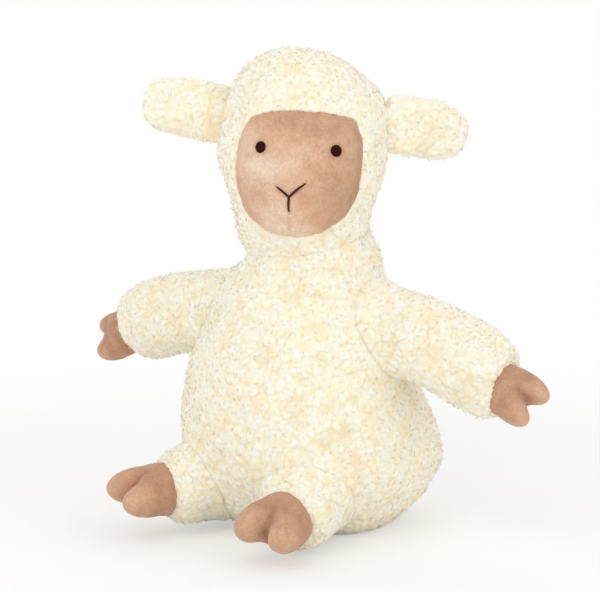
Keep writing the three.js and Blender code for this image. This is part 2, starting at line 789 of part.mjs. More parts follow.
// The whole sheep
const sheep = new THREE.Group();
const sockets = [];
sides.forEach(({ name, side, arm_drop, hand_roll_deg, leg_drop, leg_splay_deg }) => {
  const arm_pivot = new THREE.Vector3(
    side * (torso_half_width - arm_pivot_inset), -arm_pivot_forward, torso_height - arm_pivot_drop,
  );
  const arm_axis = y_axis.clone().multiplyScalar(-side);
  const arm_shape = armShape(side, arm_drop, hand_roll_deg);
  const arm = buildLimb(`${name}_arm`, `${name}_hand_hoof`, arm_shape, arm_pivot, arm_axis, arm_swing_deg);
  const leg_pivot = new THREE.Vector3(
    side * leg_pivot_side, leg_pivot_inset - torso_half_depth, leg_pivot_height,
  );
  const leg_shape = legShape(side, leg_drop, leg_splay_deg);
  const leg_axis = limbFrame(leg_shape, 0).along.setZ(0).normalize().cross(z_axis);
  const leg = buildLimb(`${name}_leg`, `${name}_foot_hoof`, leg_shape, leg_pivot, leg_axis, leg_lift_deg);
  [arm, leg].forEach((limb) => {
    sheep.add(limb.group);
    sockets.push(limb.socket);
  });
});
const tail = buildTail();
sheep.add(tail.group);
sockets.push(tail.socket);
sheep.add(buildHead());
buildTorso(sockets).forEach((mesh) => sheep.add(mesh));

export default sheep;
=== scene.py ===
"""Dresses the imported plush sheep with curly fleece, velour, eyes, stitches, a camera and soft light.

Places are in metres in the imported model's frame: +Z up, the sheep faces -Y and its left side is +X.
Each stuffed piece is lofted, remeshed, plumped up by a cloth simulation and smoothed. The fleece
pieces then get low tufts and a pile of small curled wisps, all of it real geometry.
"""

import json
import logging
import math
from dataclasses import dataclass, field
from enum import Enum
from functools import partial
from typing import Callable

import bmesh
import bpy
import numpy as np
from mathutils import Matrix, Vector, noise
from mathutils.bvhtree import BVHTree


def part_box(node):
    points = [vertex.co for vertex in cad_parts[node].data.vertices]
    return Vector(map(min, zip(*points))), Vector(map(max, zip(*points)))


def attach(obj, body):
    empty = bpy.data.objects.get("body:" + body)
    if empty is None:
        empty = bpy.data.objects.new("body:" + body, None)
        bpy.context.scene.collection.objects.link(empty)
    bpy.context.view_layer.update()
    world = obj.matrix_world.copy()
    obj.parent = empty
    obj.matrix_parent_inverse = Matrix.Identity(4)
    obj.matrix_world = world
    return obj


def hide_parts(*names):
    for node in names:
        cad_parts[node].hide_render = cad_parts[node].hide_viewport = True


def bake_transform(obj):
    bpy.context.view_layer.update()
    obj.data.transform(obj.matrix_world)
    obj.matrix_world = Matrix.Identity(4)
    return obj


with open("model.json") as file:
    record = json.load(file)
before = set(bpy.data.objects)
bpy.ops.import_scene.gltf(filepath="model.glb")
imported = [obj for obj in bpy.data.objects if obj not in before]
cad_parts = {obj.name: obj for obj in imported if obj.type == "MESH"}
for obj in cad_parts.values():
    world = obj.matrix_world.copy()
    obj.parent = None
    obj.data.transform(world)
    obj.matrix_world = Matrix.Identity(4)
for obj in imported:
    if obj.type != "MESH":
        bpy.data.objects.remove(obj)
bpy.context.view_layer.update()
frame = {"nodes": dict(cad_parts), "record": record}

MM = 0.001
LOG = logging.getLogger("plush_sheep")
JOINTS = {joint["name"]: joint for joint in frame["record"]["behaviour"]["joints"]}
X_AXIS = Vector((1, 0, 0))
Y_AXIS = Vector((0, 1, 0))
Z_AXIS = Vector((0, 0, 1))

Rows = list[tuple[float, ...]]
Stops = list[tuple[float, str]]
Keep = Callable[[np.ndarray], np.ndarray]


class Side(Enum):
    """One of the sheep's own two sides."""

    LEFT = "left"
    RIGHT = "right"

    @property
    def sign(self) -> int:
        """The side's direction along X."""
        return 1 if self is Side.LEFT else -1


class Slot(Enum):
    """The record's material slots."""

    FLEECE = "curly_fleece"
    VELOUR = "velour"
    STUFFING = "stuffing"
    PELLET_BAG = "pellet_bag_cloth"
    EYE = "eye_plastic"


def linear(hex_colour: str) -> tuple[float, float, float, float]:
    """Turns an sRGB hex colour to linear RGBA.

    Args:
        hex_colour: Six hex digits after a hash.

    Returns:
        The colour as four numbers from 0 to 1.
    """
    channels = [int(hex_colour[i:i + 2], 16) / 255 for i in (1, 3, 5)]
    return (*[c / 12.92 if c <= 0.04045 else ((c + 0.055) / 1.055) ** 2.4 for c in channels], 1.0)


def scale_of(size_mm: float) -> float:
    """Gives a pattern's scale from the real size of one repeat, in millimetres."""
    return 1 / (size_mm * MM)


def add_node(
    tree: bpy.types.NodeTree, kind: str, settings: dict[str | int, object] | None = None,
    links: dict[str | int, bpy.types.NodeSocket] | None = None,
) -> bpy.types.Node:
    """Adds one shader node with its settings and incoming links.

    Args:
        tree: The node tree that gets the node.
        kind: The node's type name.
        settings: Attributes of the node, values of its input sockets by name or number, or the
            stops of a colour ramp.
        links: Output sockets by the name or number of the input that they feed.

    Returns:
        The new node.
    """
    made = tree.nodes.new(kind)
    for key, value in (settings or {}).items():
        if key == "stops":
            elements = made.color_ramp.elements
            while len(elements) < len(value):
                elements.new(0.5)
            for element, (place, colour) in zip(elements, value):
                element.position = place
                element.color = linear(colour)
        elif isinstance(key, str) and hasattr(made, key):
            setattr(made, key, value)
        else:
            made.inputs[key].default_value = value
    for key, output in (links or {}).items():
        tree.links.new(output, made.inputs[key])
    return made


@dataclass(frozen=True)
class Finish:
    """What every finish has: a name, a base shader, tints that follow a pattern, and a relief."""

    name: str

    def start(self, **shader: object) -> tuple[bpy.types.Material, bpy.types.NodeTree, bpy.types.Node]:
        """Makes an empty material with a Principled shader.

        Args:
            shader: Input sockets of the shader, with _ for a space.

        Returns:
            The material, its node tree and its shader.
        """
        material = bpy.data.materials.new(self.name)
        material.use_nodes = True
        tree = material.node_tree
        tree.nodes.clear()
        settings = {key.replace("_", " "): value for key, value in shader.items()}
        bsdf = add_node(tree, "ShaderNodeBsdfPrincipled", settings)
        add_node(tree, "ShaderNodeOutputMaterial", links={"Surface": bsdf.outputs["BSDF"]})
        return material, tree, bsdf

    def place(self, tree: bpy.types.NodeTree) -> dict[str, bpy.types.NodeSocket]:
        """Gives the link that lays a pattern in object space."""
        return {"Vector": add_node(tree, "ShaderNodeTexCoord").outputs["Object"]}

    def tint(
        self, tree: bpy.types.NodeTree, base: bpy.types.NodeSocket, pattern: bpy.types.NodeSocket, stops: Stops,
        amount: float,
    ) -> bpy.types.NodeSocket:
        """Multiplies a tint that follows a pattern over a colour.

        Args:
            tree: The node tree.
            base: The colour below.
            pattern: The pattern's value, from 0 to 1.
            stops: The tints along it.
            amount: How much of the tint counts.

        Returns:
            The tinted colour.
        """
        over = add_node(tree, "ShaderNodeValToRGB", {"stops": stops}, {"Fac": pattern}).outputs["Color"]
        settings = {"data_type": "RGBA", "blend_type": "MULTIPLY", 0: amount}
        return add_node(tree, "ShaderNodeMix", settings, {6: base, 7: over}).outputs[2]

    def raise_by(
        self, tree: bpy.types.NodeTree, bsdf: bpy.types.Node, height: bpy.types.NodeSocket, depth_mm: float,
        **bump: object,
    ) -> None:
        """Feeds a relief of a real depth to the shader.

        Args:
            tree: The node tree.
            bsdf: The shader.
            height: The relief's height, from 0 to 1.
            depth_mm: The depth that 1 stands for.
            bump: Other settings of the relief.
        """
        settings = {"Distance": depth_mm * MM, "Strength": 1.0, **bump}
        relief = add_node(tree, "ShaderNodeBump", settings, {"Height": height})
        tree.links.new(relief.outputs["Normal"], bsdf.inputs["Normal"])


@dataclass(frozen=True)
class CurlyFleece(Finish):
    """Knitted polyester curl fleece, cream: matte and bright, soft on the curls, with painted shade, warm and a
    little darker, in its depths.
    """

    name: str = "curly_fleece"
    # Colours by height: depth is painted shade in the creases and at the roots of the wisps, mid and tip are the
    # cream of the fleece
    depth: str = "#f8eed3"
    mid: str = "#fbf4e2"
    tip: str = "#fcf6e9"
    glow: float = 0.6
    blotch_mm: float = 22.0
    # A fibre is near 0.03 mm thick, too fine to show, so it is drawn this coarse
    fibre_mm: float = 0.5

    def make(self) -> bpy.types.Material:
        """Builds the material, which reads each place's height and tone from the mesh and paints shade into the low
        places.

        Returns:
            The material.
        """
        material, tree, bsdf = self.start(
            Roughness=0.95, Sheen_Weight=0.3, Sheen_Roughness=0.5, Specular_IOR_Level=0.1,
            Subsurface_Weight=self.glow, Subsurface_Radius=(1.0, 0.85, 0.6), Subsurface_Scale=1.2 * MM,
        )
        place = self.place(tree)
        height = add_node(tree, "ShaderNodeAttribute", {"attribute_name": "pile"}).outputs["Fac"]
        tone = add_node(tree, "ShaderNodeAttribute", {"attribute_name": "tone"}).outputs["Fac"]
        blotch, fibre = (
            add_node(
                tree, "ShaderNodeTexNoise", {"Scale": scale_of(size_mm), "Detail": detail}, place,
            ).outputs["Fac"]
            for size_mm, detail in ((self.blotch_mm, 2.0), (self.fibre_mm, 1.0))
        )
        # Painted shade: the lower a place lies on the tufts or on a wisp, the darker and warmer its colour
        stops = [(0.05, self.depth), (0.4, self.mid), (0.8, self.tip)]
        wool = add_node(tree, "ShaderNodeValToRGB", {"stops": stops}, {"Fac": height}).outputs["Color"]
        wool = self.tint(tree, wool, blotch, [(0.3, "#f4f2e4"), (0.5, "#ffffff"), (0.7, "#fdf3e4")], 0.8)
        wool = self.tint(tree, wool, tone, [(0.0, "#faf5ea"), (0.5, "#ffffff"), (1.0, "#fffbf3")], 0.7)
        tree.links.new(wool, bsdf.inputs["Base Color"])
        self.raise_by(tree, bsdf, fibre, 0.25)
        return material


@dataclass(frozen=True)
class Velour(Finish):
    """Short knitted velour in tan, with a soft sheen: its colour follows a mark of patches where the pile lies
    lighter or darker, together with painted light and painted shade.
    """

    name: str = "tan_velour"
    # Stops along the mark: crease is painted shade in creases, dark and light are painted shade and painted light
    # over the pile's own patches
    crease: str = "#8a6a56"
    dark: str = "#caa386"
    mid: str = "#deb597"
    light: str = "#f4dcc5"
    patch_mm: float = 9.0
    fleck_mm: float = 1.8
    # The nap's own grain is near 0.1 mm, too fine to show, so it is drawn this coarse
    nap_mm: float = 0.7

    def make(self) -> bpy.types.Material:
        """Builds the material from the mark of pile patches with painted light and shade, two sizes of mottling and a
        fine relief.

        Returns:
            The material.
        """
        material, tree, bsdf = self.start(
            Roughness=0.85, Sheen_Weight=0.4, Sheen_Roughness=0.4, Specular_IOR_Level=0.15,
            Sheen_Tint=linear("#ffe9d8"),
        )
        place = self.place(tree)
        nap = add_node(tree, "ShaderNodeAttribute", {"attribute_name": "nap"}).outputs["Fac"]
        layers = ((self.patch_mm, 3.0, 0.6), (self.fleck_mm, 2.0, 0.6), (self.nap_mm, 3.0, 0.7))
        patch, fleck, grain = (
            add_node(
                tree, "ShaderNodeTexNoise", {"Scale": scale_of(size_mm), "Detail": detail, "Roughness": rough}, place,
            ).outputs["Fac"]
            for size_mm, detail, rough in layers
        )
        # The mark's ramp paints light and shade into the colour
        stops = [(0.0, self.crease), (0.3, self.dark), (0.6, self.mid), (1.0, self.light)]
        brushed_and_painted_light = add_node(tree, "ShaderNodeValToRGB", {"stops": stops}, {"Fac": nap}).outputs["Color"]
        brushed_and_painted_light = self.tint(tree, brushed_and_painted_light, patch, [(0.35, "#efe8e3"), (0.6, "#ffffff")], 0.8)
        brushed_and_painted_light = self.tint(tree, brushed_and_painted_light, fleck, [(0.38, "#f0e9e4"), (0.6, "#ffffff")], 0.7)
        tree.links.new(brushed_and_painted_light, bsdf.inputs["Base Color"])
        self.raise_by(tree, bsdf, grain, 0.35)
        return material


@dataclass(frozen=True)
class Patterned(Finish):
    """A finish whose one colour wanders along one pattern of a real size, which may stand in relief."""

    size_mm: float
    shader: dict[str, object]
    stops: Stops
    settings: dict[str, object]
    pattern: str = "ShaderNodeTexNoise"
    output: str = "Fac"
    depth_mm: float = 0.0
    bump: dict[str, object] = field(default_factory=dict)

    def make(self) -> bpy.types.Material:
        """Builds the material.

        Returns:
            The material.
        """
        material, tree, bsdf = self.start(**self.shader)
        settings = {"Scale": scale_of(self.size_mm), **self.settings}
        value = add_node(tree, self.pattern, settings, self.place(tree)).outputs[self.output]
        colour = add_node(tree, "ShaderNodeValToRGB", {"stops": self.stops}, {"Fac": value}).outputs["Color"]
        tree.links.new(colour, bsdf.inputs["Base Color"])
        if self.depth_mm:
            self.raise_by(tree, bsdf, value, self.depth_mm, **self.bump)
        return material


# Moulded and polished dark brown acrylic: nearly black, with one sharp highlight over faint streaks
EYE_ACRYLIC = Patterned(
    name="polished_brown_acrylic", size_mm=1.6, settings={"Detail": 2.0}, stops=[(0.4, "#280b03"), (0.75, "#3a180a")],
    shader={"Roughness": 0.1, "IOR": 1.49, "Specular_IOR_Level": 0.05},
)
# Dark brown embroidery floss: matte, with a fine twist. Its strands are near 0.25 mm wide, too fine to
# show, so a repeat of light and dark is drawn 1 mm long
FLOSS = Patterned(
    name="brown_floss", pattern="ShaderNodeTexWave", size_mm=1.0, depth_mm=0.2,
    settings={"wave_type": "BANDS", "bands_direction": "DIAGONAL"}, stops=[(0.2, "#331b12"), (0.9, "#573524")],
    shader={"Roughness": 0.8, "Specular_IOR_Level": 0.15},
)
# Carded polyester fibre: white, matte and cloudy with soft tufts, hidden inside the covers
FIBREFILL = Patterned(
    name="polyester_fibrefill", size_mm=5.0, depth_mm=1.0, settings={"Detail": 5.0, "Roughness": 0.7},
    stops=[(0.3, "#e9e9e7"), (0.7, "#fcfcfa")], shader={"Roughness": 0.95, "Sheen_Weight": 0.2},
)
# Plain woven lining cloth, matte, pushed out in a small bead by each pellet behind it, with painted shade in the
# hollows between the beads
BAG_CLOTH = Patterned(
    name="woven_lining_over_pellets", pattern="ShaderNodeTexVoronoi", output="Distance", size_mm=4.0, depth_mm=1.0,
    settings={}, stops=[(0.1, "#ddd8cb"), (0.7, "#c4beae")], shader={"Roughness": 0.9},
    bump={"invert": True, "Strength": 0.8},
)
# Natural moulded polypropylene: milky, with a satin surface and faint flow marks
POLYPROPYLENE = Patterned(
    name="natural_polypropylene", size_mm=3.0, depth_mm=0.05, settings={"Detail": 2.0},
    stops=[(0.3, "#dfdfd8"), (0.7, "#efefe9")], shader={"Roughness": 0.45, "IOR": 1.49},
)


@dataclass
class Wardrobe:
    """The finishes, made once and shared by the pieces."""

    fleece: bpy.types.Material = field(default_factory=CurlyFleece().make)
    curls: bpy.types.Material = field(default_factory=CurlyFleece(name="fleece_curls", glow=0.0).make)
    velour: bpy.types.Material = field(default_factory=Velour().make)
    # A darker copy of the face's velour: painted shade for the hands and feet, which take less light
    hoof_velour_painted_shade: bpy.types.Material = field(default_factory=Velour(
        name="velour_darkened_for_painted_shade", crease="#735544", dark="#b98f75", mid="#cca185", light="#e2bb9f",
    ).make)
    eye: bpy.types.Material = field(default_factory=EYE_ACRYLIC.make)
    thread: bpy.types.Material = field(default_factory=FLOSS.make)
    fibre: bpy.types.Material = field(default_factory=FIBREFILL.make)
    bag: bpy.types.Material = field(default_factory=BAG_CLOTH.make)
    washer: bpy.types.Material = field(default_factory=POLYPROPYLENE.make)


def clamp(value: float) -> float:
    """Keeps a number between 0 and 1."""
    return min(max(value, 0.0), 1.0)


def soft_step(share: np.ndarray | float) -> np.ndarray | float:
    """Eases a share from 0 to 1, level at both ends."""
    return share * share * (3 - 2 * share)


def in_frame(points: np.ndarray, place: Matrix) -> np.ndarray:
    """Turns places in the model's frame to the frame that a matrix places."""
    back = np.array(place.inverted())
    return points @ back[:3, :3].T + back[:3, 3]


def smooth_rows(rows: Rows, steps: int) -> Rows:
    """Reads a smooth curve through rows of shares at even steps, as the part's own lofts do.

    Args:
        rows: The rows, each with as many columns.
        steps: How many steps to cut the curve into.

    Returns:
        One more row than there are steps.
    """
    smooth = []
    for i in range(steps + 1):
        place = i / steps * (len(rows) - 1)
        row = min(int(place), len(rows) - 2)
        part = place - row
        before, start, end = rows[max(row - 1, 0)], rows[row], rows[row + 1]
        after = rows[min(row + 2, len(rows) - 1)]
        ease = soft_step(part)
        smooth.append(tuple(
            (a + part * (1 - part) ** 2 * (b - z) / 2) * (1 - ease)
            + (b - part ** 2 * (1 - part) * (c - a) / 2) * ease
            for z, a, b, c in zip(before, start, end, after)
        ))
    return smooth


def oval(centre: Vector, side: Vector, up: Vector, half_side: float, half_up: float) -> Matrix:
    """Gives the matrix that turns a unit circle into an oval ring.

    Args:
        centre: The ring's middle.
        side: The direction of its first half width.
        up: The direction of its second half width.
        half_side: The first half width.
        half_up: The second half width.

    Returns:
        The matrix.
    """
    columns = (side * half_side, up * half_up, side.cross(up), centre)
    return Matrix([(*row,) for row in zip(*columns)]).to_4x4()


def ring_edges(verts: list[bmesh.types.BMVert]) -> list[bmesh.types.BMEdge]:
    """Gives the edges of one ring of vertices."""
    return list({edge for vert in verts for edge in vert.link_edges})


def bridge(shape: bmesh.types.BMesh, loops: list[list[bmesh.types.BMEdge]]) -> None:
    """Bridges each loop of edges to the next."""
    for first, second in zip(loops, loops[1:]):
        bmesh.ops.bridge_loops(shape, edges=first + second)


def loft(rings: list[Matrix], segments: int) -> bmesh.types.BMesh:
    """Bridges a row of oval rings into one closed skin.

    Args:
        rings: The matrix of each ring, in order.
        segments: The number of points on a ring.

    Returns:
        The skin.
    """
    shape = bmesh.new()
    loops = []
    for ring in rings:
        made = bmesh.ops.create_circle(shape, cap_ends=False, radius=1.0, segments=segments)["verts"]
        bmesh.ops.transform(shape, matrix=ring, verts=made)
        loops.append(ring_edges(made))
    bridge(shape, loops)
    bmesh.ops.holes_fill(shape, edges=loops[0] + loops[-1], sides=segments)
    bmesh.ops.recalc_face_normals(shape, faces=shape.faces[:])
    return shape


def as_object(name: str, shape: bmesh.types.BMesh, smooth: bool = True) -> bpy.types.Object:
    """Turns a bmesh into an object in the scene and frees it.

    Args:
        name: The object's name.
        shape: The mesh.
        smooth: Whether its faces are shaded smooth.

    Returns:
        The object, at the origin.
    """
    mesh = bpy.data.meshes.new(name)
    shape.to_mesh(mesh)
    shape.free()
    made = bpy.data.objects.new(name, mesh)
    bpy.context.scene.collection.objects.link(made)
    if smooth:
        mesh.shade_smooth()
    return made


def bake(piece: bpy.types.Object) -> None:
    """Applies all of a piece's modifiers to its mesh.

    Args:
        piece: The object.
    """
    graph = bpy.context.evaluated_depsgraph_get()
    mesh = bpy.data.meshes.new_from_object(piece.evaluated_get(graph), depsgraph=graph)
    piece.modifiers.clear()
    piece.data = mesh
    mesh.shade_smooth()


def modify(piece: bpy.types.Object, kind: str, **settings: object) -> None:
    """Adds one modifier and applies it.

    Args:
        piece: The object.
        kind: The modifier's type.
        settings: Its settings.
    """
    modifier = piece.modifiers.new(kind.lower(), kind)
    for key, value in settings.items():
        setattr(modifier, key, value)
    bake(piece)


def read(mesh: bpy.types.Mesh, name: str) -> np.ndarray:
    """Reads one vector of each of a mesh's vertices.

    Args:
        mesh: The mesh.
        name: The vector's name, such as co.

    Returns:
        The vectors, as rows.
    """
    flat = np.empty(len(mesh.vertices) * 3)
    mesh.vertices.foreach_get(name, flat)
    return flat.reshape(-1, 3)


def points_of(mesh: bpy.types.Mesh) -> np.ndarray:
    """Reads a mesh's vertices as an array of rows."""
    return read(mesh, "co")


def normals_of(mesh: bpy.types.Mesh) -> np.ndarray:
    """Reads a mesh's vertex normals as an array of rows."""
    return read(mesh, "normal")


def set_points(mesh: bpy.types.Mesh, points: np.ndarray) -> None:
    """Writes a mesh's vertices back from an array of rows."""
    mesh.vertices.foreach_set("co", points.reshape(-1))
    mesh.update()


@dataclass
class StuffedForm:
    """How a sewn and stuffed shape is made from a lofted one."""

    voxel: float = 4.0 * MM
    swell_cap: float = 2.5 * MM
    lump_size: float = 22.0 * MM
    lump_depth: float = 1.3 * MM
    frames: int = 10
    pressure: float = 4000.0
    ease: float = 0.04
    start_share: float = 0.8
    smoothing: int = 6
    floor: float = 0.0

    def make(self, name: str, shape: bmesh.types.BMesh, levels: int = 2) -> bpy.types.Object:
        """Remeshes, plumps, smooths and subdivides a lofted shape.

        Args:
            name: The object's name.
            shape: The closed shape.
            levels: How many times it is subdivided.

        Returns:
            The finished object, at the origin.
        """
        piece = as_object(name, shape)
        modify(piece, "REMESH", mode="VOXEL", voxel_size=self.voxel, use_smooth_shade=True)
        modify(piece, "SMOOTH", factor=0.5, iterations=self.smoothing)
        self.plump(piece)
        self.add_lumps(piece)
        modify(piece, "SUBSURF", levels=levels, render_levels=levels)
        points = points_of(piece.data)
        points[:, 2] = np.maximum(points[:, 2], self.floor)
        set_points(piece.data, points)
        return piece

    def plump(self, piece: bpy.types.Object) -> None:
        """Inflates the piece as cloth cut a little too large, from a smaller shape, and caps how far a point moves.

        Args:
            piece: The object, which keeps the result in its mesh.
        """
        kept = points_of(piece.data)
        start = kept - normals_of(piece.data) * self.swell_cap * self.start_share
        set_points(piece.data, start)
        cloth = piece.modifiers.new("cloth", "CLOTH")
        cloth.settings.shrink_min = -self.ease
        cloth.settings.use_pressure = True
        cloth.settings.uniform_pressure_force = self.pressure
        cloth.settings.effector_weights.gravity = 0
        cloth.point_cache.frame_start = 1
        cloth.point_cache.frame_end = self.frames
        for number in range(1, self.frames + 1):
            bpy.context.scene.frame_set(number)
        bake(piece)
        bpy.context.scene.frame_set(1)
        moved = points_of(piece.data) - start
        reach = np.linalg.norm(moved, axis=1, keepdims=True)
        moved *= np.minimum(1, self.swell_cap / np.maximum(reach, self.swell_cap * 0.01))
        set_points(piece.data, start + moved)
        modify(piece, "SMOOTH", factor=0.5, iterations=2)

    def add_lumps(self, piece: bpy.types.Object) -> None:
        """Moves the skin in and out a little where the filling is uneven.

        Args:
            piece: The object.
        """
        points = points_of(piece.data)
        lumps = [noise.noise(Vector(point) / self.lump_size) for point in points]
        set_points(piece.data, points + normals_of(piece.data) * np.array(lumps)[:, None] * self.lump_depth)


@dataclass
class TuftRelief:
    """The low relief of small curled tufts, which lie close together all over a fleece skin."""

    tuft: float = 6.0 * MM
    depth: float = 1.3 * MM
    floor: float = 0.5 * MM
    base_share: float = 0.5
    wander: float = 0.45
    wander_scale: float = 0.8
    dome_radius: float = 0.8
    crease_width: float = 0.3
    crease_depth: float = 0.65
    fine_share: float = 0.22
    fine_scale: float = 2.3
    fine_slope: float = 1.6
    seed: int = 7

    def height(self, point: Vector) -> float:
        """Gives the height of the tufts at a place.

        Args:
            point: The place.

        Returns:
            The height, from 0 in a crease to about 1 on a tuft.
        """
        place = point / self.tuft
        place += noise.noise_vector(place * self.wander_scale) * self.wander
        (near, second, *_), _ = noise.voronoi(place)
        dome = max(1 - (near / self.dome_radius) ** 2, 0)
        crease = min((second - near) / self.crease_width, 1)
        (small, *_), _ = noise.voronoi(place * self.fine_scale)
        broad = dome * (1 - self.crease_depth + self.crease_depth * crease)
        return broad * (1 - self.fine_share) + self.fine_share * max(1 - self.fine_slope * small, 0)

    def raise_on(self, piece: bpy.types.Object) -> None:
        """Raises the tufts on a skin and marks their height for the finish.

        Args:
            piece: The skin.
        """
        # Unseeded, the offsets of noise_vector would follow the clock
        noise.seed_set(self.seed)
        points = points_of(piece.data)
        heights = np.array([self.height(Vector(point)) for point in points])
        moved = points + normals_of(piece.data) * ((heights - self.base_share) * self.depth)[:, None]
        moved[:, 2] = np.maximum(moved[:, 2], np.minimum(points[:, 2], self.floor))
        set_points(piece.data, moved)
        # The height also sets the fleece's painted shade, darker in the creases
        mark(piece.data, "pile", np.clip(heights, 0, 1))
        mark(piece.data, "tone", 0.5)


@dataclass
class Lock:
    """One loose wisp of the pile, a few fibres that taper and curl away from the tufts."""

    yarn_radius: float = 0.36 * MM
    tip_share: float = 0.35
    helix_radius: float = 1.0 * MM
    height: float = 2.2 * MM
    turns: float = 0.75
    sides: int = 3
    steps: int = 5

    def make(self, turns: float, handed: int) -> tuple[np.ndarray, np.ndarray, np.ndarray]:
        """Spins the yarn's section up its helix and closes both ends.

        Args:
            turns: How many turns the lock has.
            handed: 1 or -1, the way that it winds.

        Returns:
            Its points, its faces as rows of corners, and each point's share of the height.
        """
        shape = bmesh.new()
        section = bmesh.ops.create_circle(shape, cap_ends=False, radius=self.yarn_radius, segments=self.sides)
        upright = Matrix.Translation((self.helix_radius, 0, 0)) @ Matrix.Rotation(math.pi / 2, 4, "X")
        bmesh.ops.transform(shape, matrix=upright, verts=section["verts"])
        bmesh.ops.spin(
            shape, geom=shape.verts[:] + shape.edges[:], cent=(0, 0, 0), axis=(0, 0, 1),
            dvec=(0, 0, self.height / self.steps), angle=handed * turns * 2 * math.pi, steps=self.steps,
            use_merge=False, use_normal_flip=False, use_duplicate=False,
        )
        shape.verts.ensure_lookup_table()
        for number, vert in enumerate(shape.verts):
            step = number // self.sides
            share = step / self.steps
            angle = handed * turns * 2 * math.pi * share
            core = Vector((math.cos(angle), math.sin(angle), 0)) * self.helix_radius
            core.z = self.height * share
            slim = 1 - (1 - self.tip_share) * share ** 2
            vert.co = core + (vert.co - core) * slim
        bmesh.ops.holes_fill(shape, edges=shape.edges[:], sides=self.sides)
        bmesh.ops.recalc_face_normals(shape, faces=shape.faces[:])
        bmesh.ops.triangulate(shape, faces=shape.faces[:])
        shape.faces.ensure_lookup_table()
        points = np.array([vert.co[:] for vert in shape.verts])
        faces = np.array([[vert.index for vert in face.verts] for face in shape.faces])
        shape.free()
        points -= points.mean(axis=0) * (1, 1, 0)
        return points, faces, np.clip(points[:, 2] / self.height, 0, 1)


